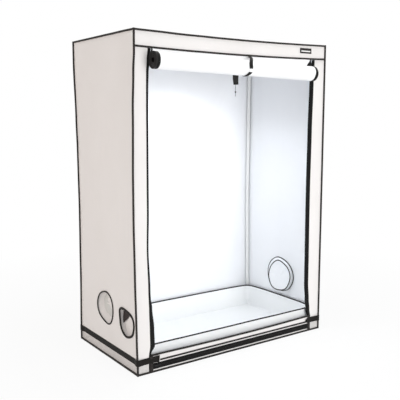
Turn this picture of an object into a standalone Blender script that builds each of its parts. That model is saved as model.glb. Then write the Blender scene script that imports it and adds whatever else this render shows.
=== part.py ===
# Indoor grow tent: a cloth cover sewn from panels over a frame of steel tubes, shown with its door
# rolled up and tied under the header. Metres, +Z up. The origin is the centre of the underside,
# -Y is the front with the doorway, and +X is the right side seen from the front.
from math import atan2, cos, hypot, pi, sin, sqrt

import bmesh
import bpy

# Overall sizes, measured over the sewn edges
tent_width = 1.500
tent_depth = 0.800
tent_height = 2.000
gap = 0.0003                     # clearance between pieces that touch
overrun = 0.004                  # how far a cut runs past the face that it opens

# Cover
cloth = 0.0010                   # thickness of the coated cloth
seam_width = 0.011               # black binding over every sewn edge
seam_proud = 0.009               # how far a sewn edge stands out from the cloth beside it
header_drop = 0.095              # top of the tent to the middle of the seam under the header
doorway_inset = 0.085            # side of the tent to the doorway's edge
sill_side_height = 0.1000        # top of the sill's cloth beside the side zips
sill_sag = 0.0045                # how far the sill's top edge sags in the middle
sill_points = 12
sill_binding_height = 0.009
sill_binding_proud = 0.003
label_width = 0.102
label_height = 0.037
label_inset = 0.186              # right side of the tent to the label's middle
label_drop = 0.0465              # top of the tent to the label's middle
label_thickness = 0.0008

# Black band round the foot of the cover, with a loose end beside each side zip
band_low = 0.056
band_height = 0.038
band_thickness = 0.0015
band_left_inset = 0.150          # side of the tent to the band's loose end
band_right_inset = 0.128
band_flat_over_seam = 0.004      # how far the band stays level past a corner's binding
band_slope = 0.035               # length over which it then comes down to the cloth

# Zip tapes
tape_thickness = 0.0010
side_tape_face = 0.0130          # part of a side tape that lies in the front face
side_tape_depth = 0.0160         # part that turns back into the doorway and carries the teeth
tape_above_rail = 0.003          # the turned part ends this far above the bottom rail
bottom_tape_low = 0.018
bottom_tape_high = 0.042
bottom_tape_stand_off = 0.0036   # how far the teeth edge of the bottom tape stands out from the sill
bottom_tape_inset = 0.100        # side of the tent to the end of the bottom tape

# Zip sliders and their pull tabs
slider_length = 0.026
slider_mouth = 0.0050            # depth of the slot that holds the teeth
slider_wall = 0.0013
bridge_length = 0.0090
bridge_width = 0.0030
bridge_wall = 0.0010
bridge_clear = 0.0024
bridge_sink = 0.0004             # depth to which the bridge is set into the slider's face
pull_width = 0.0070
pull_length = 0.0300
pull_thickness = 0.0012
pull_window_width = 0.0040
pull_window_length = 0.0085
pull_bar = 0.0014
slider_top_margin = 0.002
bottom_slider_inset = 0.150      # side of the tent to the bottom slider's middle

# Rolled door
door_side_play = 0.005           # doorway's edge to the door's own edge
door_tape_width = 0.028
roll_radius = 0.0495
roll_core_radius = 0.0145
roll_turns = 9
roll_points_per_turn = 18
roll_drop = 0.084                # header's seam to the middle of the roll
roll_stand_off = 0.0535          # roll's centre in front of the tent's front face
door_hang_y = 0.0055             # door's sewn edge behind the tent's front face

# Strap that ties the rolled door up
strap_width = 0.026
strap_thickness = 0.0015
strap_x = 0.078
strap_rear_y = 0.0085            # rear half's sewn end behind the tent's front face
strap_end_gap = 0.0015
strap_points = 12

# Duct ports
rear_port_y = 0.018
rear_port_z = 0.315
rear_port_radius = 0.102
front_port_inset = 0.129         # front of the tent to the middle of the front port
front_port_z = 0.279
front_port_radius = 0.082
right_port_y = 0.014
right_port_z = 0.312
right_port_radius = 0.120
port_ring_width = 0.009
port_ring_height = 0.003
port_ring_lap = 0.001
sleeve_depth = 0.050
sleeve_crown = 0.008
sleeve_rim_width = 0.006
sleeve_rim_length = 0.008
port_sides = 32

# Steel frame
tube_radius = 0.0125
tube_wall = 0.0010
tube_sides = 16
socket_wall = 0.0024
socket_reach = 0.055
socket_stop = 0.018              # corner's centre to the bottom of a socket
corner_lip = 0.0005              # how far the corner's block stands out past its sockets
bar_radius = 0.0080
bar_sides = 12
bar_x_share = 1 / 3              # bars stand this far out from the middle, of half the width
hook_thickness = 0.0022
hook_width = 0.025
hook_low_share = -0.28           # ends of the hook's arc, in half turns up from the rail's inner side
hook_high_share = 0.72
hook_points = 8
bar_in_hook = 0.0012             # depth to which the bar runs into its hook

# Webbing hanger on the right-hand bar, with its cord
hanger_width = 0.060
hanger_thickness = 0.0014
hanger_drop = 0.239              # middle of the bar to the webbing's lower end
hanger_y = -0.040
hanger_layers_apart = 0.0022
cord_radius = 0.0015
cord_length = 0.079
bead_radius = 0.0050
bead_half_height = 0.0070
bead_drop = 0.049                # top of the cord to the bead's middle
cord_sides = 8

# Loose floor tray
tray_inset = 0.045               # each side of the tent to the tray's wall
tray_height = 0.150
tray_wall = 0.0012
tray_corner = 0.030
tray_corner_points = 5
tray_binding_height = 0.008
tray_binding_lap = 0.0018

# Places that follow from these sizes
half_width = tent_width / 2
half_depth = tent_depth / 2
front = -half_depth
side_out = half_width - seam_proud
side_in = side_out - cloth
front_out = front + seam_proud
front_in = front_out + cloth
back_out = half_depth - seam_proud
back_in = back_out - cloth
roof_out = tent_height - seam_proud
roof_in = roof_out - cloth
header_line = tent_height - header_drop
header_low = header_line - seam_width / 2
header_high = header_line + seam_width / 2
doorway_half = half_width - doorway_inset
door_half = doorway_half - door_side_play
inside_seam = seam_width + gap
socket_radius = tube_radius + gap + socket_wall
corner_half = socket_radius + corner_lip
post_x = half_width - inside_seam - corner_half
post_y = half_depth - inside_seam - corner_half
rail_low_z = cloth + gap + corner_half
rail_high_z = roof_in - gap - corner_half
roll_y = front - roll_stand_off
roll_centre_z = header_line - roll_drop
bar_x = half_width * bar_x_share
port_left_rear = (rear_port_y, rear_port_z, rear_port_radius)
port_left_front = (front + front_port_inset, front_port_z, front_port_radius)
port_right = (right_port_y, right_port_z, right_port_radius)
X, Y, Z = range(3)

for old in list(bpy.data.objects):
    bpy.data.objects.remove(old, do_unlink=True)


def material(name, colour, roughness, metallic=0.0):
    made = bpy.data.materials.new(name)
    made.use_nodes = True
    shader = made.node_tree.nodes["Principled BSDF"]
    shader.inputs["Base Color"].default_value = (*colour, 1.0)
    shader.inputs["Roughness"].default_value = roughness
    shader.inputs["Metallic"].default_value = metallic
    return made


outer_cloth = material("coated_cloth_outside", (0.68, 0.64, 0.61), 0.55)
white_cloth = material("white_cloth", (0.84, 0.84, 0.85), 0.50)
tray_cloth = material("tray_cloth", (0.80, 0.81, 0.80), 0.50)
binding = material("black_binding", (0.040, 0.038, 0.036), 0.75)
webbing = material("black_webbing", (0.022, 0.021, 0.020), 0.80)
zip_cloth = material("black_zip_tape", (0.020, 0.019, 0.018), 0.70)
zip_metal = material("black_zip_slider", (0.030, 0.030, 0.032), 0.40, 0.6)
steel = material("white_powder_coated_steel", (0.78, 0.78, 0.78), 0.35)
plastic = material("white_moulded_corner", (0.72, 0.72, 0.70), 0.45)
patch = material("bare_label_patch", (0.60, 0.60, 0.58), 0.60)
cord_black = material("black_cord", (0.025, 0.024, 0.024), 0.70)


def finish(name, bm, made_of, origin=(0.0, 0.0, 0.0), smooth=False):
    """Turn a bmesh in world places into a named object whose origin is the point given."""
    bmesh.ops.recalc_face_normals(bm, faces=bm.faces)
    bmesh.ops.translate(bm, verts=bm.verts, vec=[-c for c in origin])
    mesh = bpy.data.meshes.new(name)
    bm.to_mesh(mesh)
    bm.free()
    if smooth:
        mesh.shade_smooth()
        mesh.set_sharp_from_angle(angle=pi / 5)
    if made_of:
        mesh.materials.append(made_of)
    made = bpy.data.objects.new(name, mesh)
    made.location = origin
    bpy.context.collection.objects.link(made)
    return made


def in_space(axis, a, b, along):
    """A point of an outline: a and b are the two other directions in X, Y, Z order."""
    point = [a, b]
    point.insert(axis, along)
    return point


def loops_to_solid(name, loops, made_of, closed_ends=True, **kept):
    """Join a row of loops with the same number of points into one closed solid."""
    bm = bmesh.new()
    rows = [[bm.verts.new(p) for p in loop] for loop in loops]
    pairs = list(zip(rows, rows[1:]))
    if not closed_ends:
        pairs.append((rows[-1], rows[0]))
    for low, high in pairs:
        count = len(low)
        for i in range(count):
            j = (i + 1) % count
            bm.faces.new((low[i], low[j], high[j], high[i]))
    if closed_ends:
        bm.faces.new(rows[0])
        bm.faces.new(rows[-1])
    return finish(name, bm, made_of, **kept)


def prism(name, outline, axis, low, high, made_of, **kept):
    """A flat outline pushed out along an axis."""
    loops = [[in_space(axis, a, b, along) for a, b in outline] for along in (low, high)]
    return loops_to_solid(name, loops, made_of, **kept)


def block(name, low, high, made_of, **kept):
    outline = [(low[X], low[Y]), (high[X], low[Y]), (high[X], high[Y]), (low[X], high[Y])]
    return prism(name, outline, Z, low[Z], high[Z], made_of, **kept)


def both_sides(path, thickness):
    """The two edges of a strip whose middle line is the path, with mitred corners."""
    half = thickness / 2
    left, right = [], []
    for i, (a, b) in enumerate(path):
        before = path[max(i - 1, 0)]
        after = path[min(i + 1, len(path) - 1)]
        normals = []
        for (a0, b0), (a1, b1) in ((before, path[i]), (path[i], after)):
            run = hypot(a1 - a0, b1 - b0)
            if run > 0:
                normals.append((-(b1 - b0) / run, (a1 - a0) / run))
        n = [sum(c) / len(normals) for c in zip(*normals)]
        stretch = half / (n[0] ** 2 + n[1] ** 2)
        left.append((a + n[0] * stretch, b + n[1] * stretch))
        right.append((a - n[0] * stretch, b - n[1] * stretch))
    return left, right


def strip(name, path, thickness, axis, low, high, made_of, **kept):
    """A strip of cloth seen edge on: the path is its section, the axis its width."""
    left, right = both_sides(path, thickness)
    loops = []
    for (a, b), (c, d) in zip(left, right):
        loops.append([in_space(axis, a, b, low), in_space(axis, a, b, high),
                      in_space(axis, c, d, high), in_space(axis, c, d, low)])
    return loops_to_solid(name, loops, made_of, **kept)


def rings(profile, centre, axis, sides):
    """One ring of points about the axis for each (radius, place along the axis) of a profile."""
    made = []
    for radius, along in profile:
        ring = []
        for i in range(sides):
            angle = 2 * pi * i / sides
            point = in_space(axis, radius * cos(angle), radius * sin(angle), along)
            ring.append([c + p for c, p in zip(centre, point)])
        made.append(ring)
    return made


def turned(name, profile, centre, axis, sides, made_of, **kept):
    """A ring-shaped solid whose section is the closed profile."""
    return loops_to_solid(name, rings(profile, centre, axis, sides), made_of, closed_ends=False, **kept)


def rod(name, profile, centre, axis, sides, made_of, **kept):
    """A solid bar that follows the profile, with a flat face at each end."""
    return loops_to_solid(name, rings(profile, centre, axis, sides), made_of, **kept)


def combine(target, tools, operation):
    """Cut or join the target with hidden helper shapes."""
    for tool in tools:
        tool.hide_render = True
        tool.display_type = "WIRE"
        step = target.modifiers.new(tool.name, "BOOLEAN")
        step.operation = operation
        step.solver = "EXACT"
        step.object = tool


def seam_frame():
    """One network of binding: the twelve edges of the cover and the line under the header."""
    body = block("seam_binding", (-half_width, -half_depth, 0), (half_width, half_depth, tent_height),
                 binding)
    inner_x = half_width - seam_width
    inner_y = half_depth - seam_width
    inner_top = tent_height - seam_width
    far_x = half_width + overrun
    far_y = half_depth + overrun
    tools = [
        block("cut_sideways", (-far_x, -inner_y, seam_width), (far_x, inner_y, inner_top), None),
        block("cut_upright", (-inner_x, -inner_y, -overrun), (inner_x, inner_y, tent_height + overrun),
              None),
        block("cut_back", (-inner_x, 0, seam_width), (inner_x, far_y, inner_top), None),
        block("cut_doorway", (-inner_x, -far_y, seam_width), (inner_x, 0, header_low), None),
        block("cut_header", (-inner_x, -far_y, header_high), (inner_x, 0, inner_top), None),
    ]
    combine(body, tools, "DIFFERENCE")


def port_cutter(name, port, side):
    y, z, radius = port
    reach = seam_proud + overrun
    profile = [(radius, side * side_in - reach), (radius, side * side_in + reach)]
    return rod("cut_" + name, profile, (0, y, z), X, port_sides, None)


def panels():
    edge_y = half_depth - inside_seam
    edge_x = half_width - inside_seam
    top = tent_height - inside_seam
    left = block("left_wall", (-side_out, -edge_y, inside_seam), (-side_in, edge_y, top), outer_cloth)
    right = block("right_wall", (side_in, -edge_y, inside_seam), (side_out, edge_y, top), outer_cloth)
    combine(left, [port_cutter("left_rear", port_left_rear, -1),
                   port_cutter("left_front", port_left_front, -1)], "DIFFERENCE")
    combine(right, [port_cutter("right", port_right, 1)], "DIFFERENCE")
    block("back_wall", (-edge_x, back_in, inside_seam), (edge_x, back_out, top), outer_cloth)
    block("roof_panel", (-edge_x, -edge_y, roof_in), (edge_x, edge_y, roof_out), outer_cloth)
    block("floor_panel", (-edge_x, -edge_y, 0), (edge_x, edge_y, cloth), outer_cloth)
    door_top = header_low - gap
    block("front_left_panel", (-edge_x, front_out, inside_seam), (-doorway_half, front_in, door_top),
          outer_cloth)
    block("front_right_panel", (doorway_half, front_out, inside_seam), (edge_x, front_in, door_top),
          outer_cloth)
    block("front_header", (-edge_x, front_out, header_high + gap), (edge_x, front_in, top), outer_cloth)


def sill_edge(x):
    """Height of the sill's top edge, which sags between its two ends."""
    share = x / doorway_half
    return sill_side_height - sill_sag * (1 - share * share)


def sill():
    end = doorway_half - gap - side_tape_face - gap
    steps = [-end + 2 * end * i / sill_points for i in range(sill_points + 1)]
    edge = [(x, sill_edge(x)) for x in steps]
    outline = [(-end, inside_seam)] + edge + [(end, inside_seam)]
    prism("front_sill", outline, Y, front_out, front_in, outer_cloth)
    middle = [(x, z + gap + sill_binding_height / 2) for x, z in edge]
    strip("sill_binding", middle, sill_binding_height, Y, front_out - sill_binding_proud,
          front_in + sill_binding_proud, binding)


def band():
    over = gap + band_thickness / 2
    over_x = half_width + over
    over_y = half_depth + over
    cloth_x = side_out + over
    cloth_y = half_depth - seam_proud + over
    flat_x = half_width - seam_width - band_flat_over_seam
    flat_y = half_depth - seam_width - band_flat_over_seam
    down_x = flat_x - band_slope
    down_y = flat_y - band_slope
    left_side = [(-over_x, -over_y), (-over_x, -flat_y), (-cloth_x, -down_y), (-cloth_x, down_y),
                 (-over_x, flat_y), (-over_x, over_y)]
    back = [(-flat_x, over_y), (-down_x, cloth_y), (down_x, cloth_y), (flat_x, over_y)]
    right_side = [(-x, y) for x, y in reversed(left_side)]
    left_end = half_width - band_left_inset
    right_end = half_width - band_right_inset
    path = [(-left_end, -cloth_y), (-down_x, -cloth_y), (-flat_x, -over_y)] + left_side + back
    path += right_side + [(flat_x, -over_y), (down_x, -cloth_y), (right_end, -cloth_y)]
    strip("girth_band", path, band_thickness, Z, band_low, band_low + band_height, webbing)


def zip_tapes():
    low = inside_seam
    high = header_low - gap
    outer = doorway_half - gap
    inner = outer - side_tape_face
    back = front_out + side_tape_depth
    t = tape_thickness
    section = [(outer, front_out), (outer, front_out + t), (inner + t, front_out + t), (inner + t, back),
               (inner, back), (inner, front_out)]
    teeth_low = rail_low_z + tube_radius + tape_above_rail
    for side, way in (("left", -1), ("right", 1)):
        tape = prism("zip_tape_" + side, [(way * x, y) for x, y in section], Z, low, high, zip_cloth)
        near_x, far_x = sorted((way * (inner - overrun), way * (inner + overrun)))
        notch = block("notch_" + side, (near_x, front_out + t, low - overrun),
                      (far_x, back + overrun, teeth_low), None)
        combine(tape, [notch], "DIFFERENCE")
    near = front_out - gap - t / 2
    out = near - bottom_tape_stand_off
    middle = (bottom_tape_low + bottom_tape_high) / 2
    bend = (bottom_tape_low + middle) / 2
    path = [(near, bottom_tape_low), (near, bend), (out, middle), (out, bottom_tape_high)]
    end = half_width - bottom_tape_inset
    strip("zip_tape_bottom", path, t, X, -end, end, zip_cloth)


def placed(origin, across, along, out, points):
    """Points given across and along the tape and out from it, put in the tent's directions."""
    return [[o + u * a + v * b + n * c for o, a, b, c in zip(origin, across, along, out)]
            for u, v, n in points]


def zip_slider(side, origin, across, along, out):
    """A slider round the tape's teeth edge at the origin, and the pull tab through its bridge."""
    half = slider_length / 2
    slot = tape_thickness / 2 + gap
    face = slot + slider_wall
    web = gap + slider_wall
    section = [(-slider_mouth, -face), (web, -face), (web, face), (-slider_mouth, face),
               (-slider_mouth, slot), (gap, slot), (gap, -slot), (-slider_mouth, -slot)]
    loops = [placed(origin, across, along, out, [(u, v, n) for u, n in section]) for v in (-half, half)]
    body = loops_to_solid("zip_slider_" + side, loops, zip_metal, origin=origin)

    middle = (web - slider_mouth) / 2
    foot = face - bridge_sink
    under = face + bridge_clear
    top = under + bridge_wall
    outer = bridge_length / 2
    inner = outer - bridge_wall
    arch = [(-outer, foot), (-outer, top), (outer, top), (outer, foot), (inner, foot), (inner, under),
            (-inner, under), (-inner, foot)]
    edges = (middle - bridge_width / 2, middle + bridge_width / 2)
    loops = [placed(origin, across, along, out, [(u, v, n) for v, n in arch]) for u in edges]
    bridge = loops_to_solid("bridge_" + side, loops, None)
    combine(body, [bridge], "UNION")

    pivot_v = -inner + gap + pull_bar / 2
    pivot_n = face + bridge_clear / 2
    pivot = placed(origin, across, along, out, [(middle, pivot_v, pivot_n)])[0]
    w = pull_width / 2
    hole = pull_window_width / 2
    top_v = pull_bar / 2
    hole_end = -top_v - pull_window_length
    outer_loop = [(-w, top_v), (w, top_v), (w, top_v - pull_length), (-w, top_v - pull_length)]
    inner_loop = [(-hole, -top_v), (hole, -top_v), (hole, hole_end), (-hole, hole_end)]
    t = pull_thickness / 2
    loops = []
    for loop, n in ((outer_loop, -t), (outer_loop, t), (inner_loop, t), (inner_loop, -t)):
        loops.append(placed(pivot, across, along, out, [(u, v, n) for u, v in loop]))
    loops_to_solid("zip_pull_" + side, loops, zip_metal, closed_ends=False, origin=pivot)


def zips():
    zip_tapes()
    teeth_y = front_out + side_tape_depth
    teeth_x = doorway_half - gap - side_tape_face + tape_thickness / 2
    rest_z = header_low - gap - slider_top_margin - slider_length / 2
    zip_slider("left", (-teeth_x, teeth_y, rest_z), (0, 1, 0), (0, 0, 1), (1, 0, 0))
    zip_slider("right", (teeth_x, teeth_y, rest_z), (0, 1, 0), (0, 0, 1), (-1, 0, 0))
    out_y = front_out - gap - tape_thickness / 2 - bottom_tape_stand_off
    bottom_x = bottom_slider_inset - half_width
    zip_slider("bottom", (bottom_x, out_y, bottom_tape_high), (0, 0, 1), (1, 0, 0), (0, -1, 0))


def tangent_angle(centre, point, radius, turn):
    """Angle on the circle where a line from the point touches it, on the side that turn gives."""
    away = atan2(point[1] - centre[1], point[0] - centre[0])
    reach = hypot(point[0] - centre[0], point[1] - centre[1])
    opening = pi / 2 - atan2(radius, sqrt(reach ** 2 - radius ** 2))
    return away + turn * opening


def arc(centre, radius, start, end, count):
    points = []
    for i in range(count + 1):
        angle = start + (end - start) * i / count
        points.append((centre[0] + radius * cos(angle), centre[1] + radius * sin(angle)))
    return points


def door():
    """The door hangs from the header seam, goes down behind the roll and winds inwards."""
    centre = (roll_y, roll_centre_z)
    sewn = (front + door_hang_y, header_low - gap)
    start = tangent_angle(centre, sewn, roll_radius, -1)
    path = [sewn]
    steps = roll_turns * roll_points_per_turn
    for i in range(steps + 1):
        radius = roll_radius + (roll_core_radius - roll_radius) * i / steps
        angle = start - 2 * pi * i / roll_points_per_turn
        path.append((centre[0] + radius * cos(angle), centre[1] + radius * sin(angle)))
    inner = door_half - door_tape_width
    strip("door_roll", path, cloth, X, -inner + gap, inner - gap, white_cloth, smooth=True)
    strip("door_tape_left", path, cloth, X, -door_half, -inner, zip_cloth, smooth=True)
    strip("door_tape_right", path, cloth, X, inner, door_half, zip_cloth, smooth=True)


def door_strap():
    centre = (roll_y, roll_centre_z)
    radius = roll_radius + cloth / 2 + gap + strap_thickness / 2
    low = strap_x - strap_width / 2
    high = strap_x + strap_width / 2
    top = header_low - gap
    hinge = (front - gap - strap_thickness / 2, header_low + strap_thickness)
    far = atan2(centre[1] - hinge[1], centre[0] - hinge[0])
    over = tangent_angle(centre, hinge, radius, 1)
    end = far + 2 * pi
    front_path = [hinge] + arc(centre, radius, over, end, strap_points)
    origin = (strap_x, hinge[0], hinge[1])
    strip("tie_strap_front", front_path, strap_thickness, X, low, high, webbing, origin=origin,
          smooth=True)
    sewn = (front + strap_rear_y, top)
    down = tangent_angle(centre, sewn, radius, -1)
    stop = far + (strap_end_gap + strap_thickness) / radius
    rear_path = [sewn] + arc(centre, radius, down, stop, strap_points)
    strip("tie_strap_rear", rear_path, strap_thickness, X, low, high, webbing, smooth=True)


def label():
    out = front_out - gap
    x = half_width - label_inset
    z = tent_height - label_drop
    block("header_label", (x - label_width / 2, out - label_thickness, z - label_height / 2),
          (x + label_width / 2, out, z + label_height / 2), patch)


def port(name, place, side, ring_inside):
    """Binding round the hole, and the duct sleeve pushed in and drawn shut."""
    y, z, radius = place
    centre = (0, y, z)
    low = radius - port_ring_lap
    high = low + port_ring_width
    at = side_in - gap if ring_inside else side_out + gap
    to = at - port_ring_height if ring_inside else at + port_ring_height
    ring = [(low, side * at), (high, side * at), (high, side * to), (low, side * to)]
    turned("port_ring_" + name, ring, centre, X, port_sides, binding, smooth=True)
    outer = low - gap
    inner = outer - cloth
    mouth = side_out + gap + port_ring_height
    end = side_in - sleeve_depth
    crown = end - sleeve_crown
    profile = [(inner, side * mouth), (outer, side * mouth), (outer, side * end),
               (outer / 2, side * crown), (cloth, side * crown), (cloth, side * (crown + cloth)),
               (outer / 2, side * (crown + cloth)), (inner, side * (end + cloth))]
    turned("port_sleeve_" + name, profile, centre, X, port_sides, white_cloth, smooth=True)


def ports():
    port("left_rear", port_left_rear, -1, False)
    port("left_front", port_left_front, -1, False)
    port("right", port_right, 1, True)
    y, z, radius = port_right
    low = radius - port_ring_lap
    high = low + sleeve_rim_width
    at = side_in - sleeve_depth
    to = at + sleeve_rim_length
    rim = [(low, at), (high, at), (high, to), (low, to)]
    turned("sleeve_rim_right", rim, (0, y, z), X, port_sides, binding, smooth=True)


def tube(name, axis, centre, low, high):
    inner = tube_radius - tube_wall
    profile = [(tube_radius, low), (tube_radius, high), (inner, high), (inner, low)]
    turned(name, profile, centre, axis, tube_sides, steel, smooth=True)


def corner(name, x, y, z):
    """A three-way corner: a block with three sockets that the tubes are pushed into."""
    centre = (x, y, z)
    half = corner_half
    body = block(name, (x - half, y - half, z - half), (x + half, y + half, z + half), plastic)
    inward = (-1 if x > 0 else 1, -1 if y > 0 else 1, 1 if z < tent_height / 2 else -1)
    arms, bores = [], []
    bore = tube_radius + gap
    for axis, way in zip((X, Y, Z), inward):
        arm = [(socket_radius, 0), (socket_radius, way * socket_reach)]
        arms.append(rod(f"{name}_arm_{axis}", arm, centre, axis, tube_sides, None))
        hole = [(bore, way * socket_stop), (bore, way * (socket_reach + overrun))]
        bores.append(rod(f"{name}_bore_{axis}", hole, centre, axis, tube_sides, None))
    combine(body, arms, "UNION")
    combine(body, bores, "DIFFERENCE")


def frame_tubes():
    inset = socket_stop + gap
    for side, x in (("left", -post_x), ("right", post_x)):
        for depth, y in (("front", -post_y), ("back", post_y)):
            tube(f"upright_{depth}_{side}", Z, (x, y, 0), rail_low_z + inset, rail_high_z - inset)
    for level, z in (("bottom", rail_low_z), ("top", rail_high_z)):
        for depth, y in (("front", -post_y), ("back", post_y)):
            tube(f"long_rail_{level}_{depth}", X, (0, y, z), -post_x + inset, post_x - inset)
            for side, x in (("left", -post_x), ("right", post_x)):
                corner(f"corner_{level}_{depth}_{side}", x, y, z)
        for side, x in (("left", -post_x), ("right", post_x)):
            tube(f"short_rail_{level}_{side}", Y, (x, 0, z), -post_y + inset, post_y - inset)


def roof_bar(name, x):
    """A bar across the roof, with a hook over the long rail at each end."""
    hook_radius = tube_radius + gap + hook_thickness / 2
    reach = post_y - tube_radius - gap - hook_thickness + bar_in_hook
    centre = (x, 0, rail_high_z)
    profile = [(bar_radius, -reach), (bar_radius, reach)]
    bar = rod(name, profile, centre, Y, bar_sides, steel, origin=centre, smooth=True)
    hooks = []
    for way in (-1, 1):
        path = []
        for i in range(hook_points + 1):
            share = hook_low_share + (hook_high_share - hook_low_share) * i / hook_points
            angle = pi * share
            path.append((way * (post_y - hook_radius * cos(angle)), rail_high_z + hook_radius * sin(angle)))
        hooks.append(strip(f"{name}_hook_{way + 1}", path, hook_thickness, X, x - hook_width / 2,
                           x + hook_width / 2, steel))
    combine(bar, hooks, "UNION")


def hanger():
    """A webbing loop over the right-hand bar, with a thin cord and its bead below."""
    low_y = hanger_y - hanger_width / 2
    high_y = hanger_y + hanger_width / 2
    round_bar = bar_radius + gap + hanger_thickness / 2
    centre = (bar_x, rail_high_z)
    apart = hanger_layers_apart / 2
    hanger_low = rail_high_z - hanger_drop
    left_foot = (bar_x - apart, hanger_low)
    right_foot = (bar_x + apart, hanger_low)
    start = tangent_angle(centre, left_foot, round_bar, -1)
    end = tangent_angle(centre, right_foot, round_bar, 1)
    path = [left_foot] + arc(centre, round_bar / cos(pi / bar_sides), start, end - 2 * pi, bar_sides)
    path += [right_foot]
    strip("hanger_strap", path, hanger_thickness, Y, low_y, high_y, webbing,
          origin=(bar_x, hanger_y, rail_high_z), smooth=True)
    top = hanger_low - gap
    bead_z = top - bead_drop
    profile = [(cord_radius, top - cord_length), (cord_radius, bead_z - bead_half_height),
               (bead_radius, bead_z - bead_half_height / 2), (bead_radius, bead_z + bead_half_height / 2),
               (cord_radius, bead_z + bead_half_height), (cord_radius, top)]
    rod("hanger_cord", profile, (bar_x, hanger_y, 0), Z, cord_sides, cord_black, smooth=True)


def rounded_rectangle(half_x, half_y, radius):
    points = []
    quarter = pi / 2
    corners = ((half_x, half_y, 0), (-half_x, half_y, 1), (-half_x, -half_y, 2), (half_x, -half_y, 3))
    for x, y, turn in corners:
        centre = (x - radius * (1 if x > 0 else -1), y - radius * (1 if y > 0 else -1))
        points += arc(centre, radius, turn * quarter, (turn + 1) * quarter, tray_corner_points)
    return points


def tray():
    """A loose tray of the same cloth with its walls stood up inside the posts."""
    low = cloth + gap
    half_x = half_width - tray_inset
    half_y = half_depth - tray_inset
    outside = rounded_rectangle(half_x, half_y, tray_corner)
    inside = rounded_rectangle(half_x - tray_wall, half_y - tray_wall, tray_corner - tray_wall)
    loops = [[(x, y, low) for x, y in outside], [(x, y, tray_height) for x, y in outside],
             [(x, y, tray_height) for x, y in inside], [(x, y, low + tray_wall) for x, y in inside]]
    loops_to_solid("floor_tray", loops, tray_cloth)
    lap = tray_binding_lap
    within = tray_wall + lap
    wide = rounded_rectangle(half_x + lap, half_y + lap, tray_corner + lap)
    narrow = rounded_rectangle(half_x - within, half_y - within, tray_corner - within)
    low = tray_height + gap
    high = low + tray_binding_height
    loops = [[(x, y, low) for x, y in wide], [(x, y, high) for x, y in wide],
             [(x, y, high) for x, y in narrow], [(x, y, low) for x, y in narrow]]
    loops_to_solid("tray_binding", loops, binding, closed_ends=False)


seam_frame()
panels()
sill()
band()
zips()
door()
door_strap()
label()
ports()
frame_tubes()
roof_bar("roof_bar_left", -bar_x)
roof_bar("roof_bar_right", bar_x)
hanger()
tray()
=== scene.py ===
# Looks of the indoor grow tent: sewn cloth over a steel tube frame, with the door rolled up and tied.
# Metres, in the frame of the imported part: +Z up, the doorway faces -Y, +X is the right-hand side.
from math import acos, atan2, ceil, copysign, cos, exp, hypot, pi, radians, sin, sqrt

import bpy
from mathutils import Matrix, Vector, noise


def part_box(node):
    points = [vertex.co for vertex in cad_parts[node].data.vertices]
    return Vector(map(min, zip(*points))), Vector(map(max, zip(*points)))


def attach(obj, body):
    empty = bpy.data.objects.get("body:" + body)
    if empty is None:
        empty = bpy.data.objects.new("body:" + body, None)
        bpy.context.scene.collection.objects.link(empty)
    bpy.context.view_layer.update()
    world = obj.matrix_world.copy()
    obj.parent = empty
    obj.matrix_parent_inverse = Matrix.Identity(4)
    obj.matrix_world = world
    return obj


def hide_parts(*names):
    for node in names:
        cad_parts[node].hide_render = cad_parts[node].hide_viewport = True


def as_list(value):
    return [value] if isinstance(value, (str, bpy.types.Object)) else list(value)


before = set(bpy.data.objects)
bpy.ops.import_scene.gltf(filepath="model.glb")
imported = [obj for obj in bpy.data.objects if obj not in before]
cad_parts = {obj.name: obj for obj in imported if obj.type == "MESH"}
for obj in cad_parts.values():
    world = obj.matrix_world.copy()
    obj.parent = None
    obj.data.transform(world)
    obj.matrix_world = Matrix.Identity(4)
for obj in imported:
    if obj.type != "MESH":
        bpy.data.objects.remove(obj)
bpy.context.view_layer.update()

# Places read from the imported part
tent_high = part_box("seam_binding")[1]
half_width = tent_high.x
half_depth = tent_high.y
tent_height = tent_high.z
side_out = -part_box("left_wall")[0].x
front_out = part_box("front_header")[0].y
back_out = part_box("back_wall")[1].y
roof_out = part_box("roof_panel")[1].z
doorway_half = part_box("front_right_panel")[0].x
header_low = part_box("door_roll")[1].z
header_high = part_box("front_header")[0].z
tray_low, tray_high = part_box("floor_tray")
band_low, band_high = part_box("girth_band")
sill_end = -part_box("front_sill")[0].x
side_tape_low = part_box("zip_tape_right")[0].z

# Sizes of the cloth work
cloth = 0.001
seam = 0.011
gap = 0.0003
panel_inset = 0.009              # the panels' cut edges lie this far inside the tent's, under the binding
cell = 0.012                     # spacing of the points in a large panel

# Camera of the photograph, solved from the tent's six visible outer corners
camera_place = Vector((-2.46105, -3.47718, 1.51552))
camera_azimuth = radians(-35.0605)
camera_elevation = radians(7.571)
camera_lens = 56.28              # millimetres, on a sensor 36 mm wide


def deselect():
    bpy.ops.object.select_all(action="DESELECT")


def only(piece):
    deselect()
    piece.select_set(True)
    bpy.context.view_layer.objects.active = piece


def settle(piece):
    """Puts a piece's place, turn and size into its mesh."""
    only(piece)
    bpy.ops.object.transform_apply(location=True, rotation=True, scale=True)


def modify(piece, kind, **settings):
    """Adds a modifier and applies it."""
    only(piece)
    step = piece.modifiers.new(kind.title(), kind)
    for name, value in settings.items():
        setattr(step, name, value)
    bpy.ops.object.modifier_apply(modifier=step.name)


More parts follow.
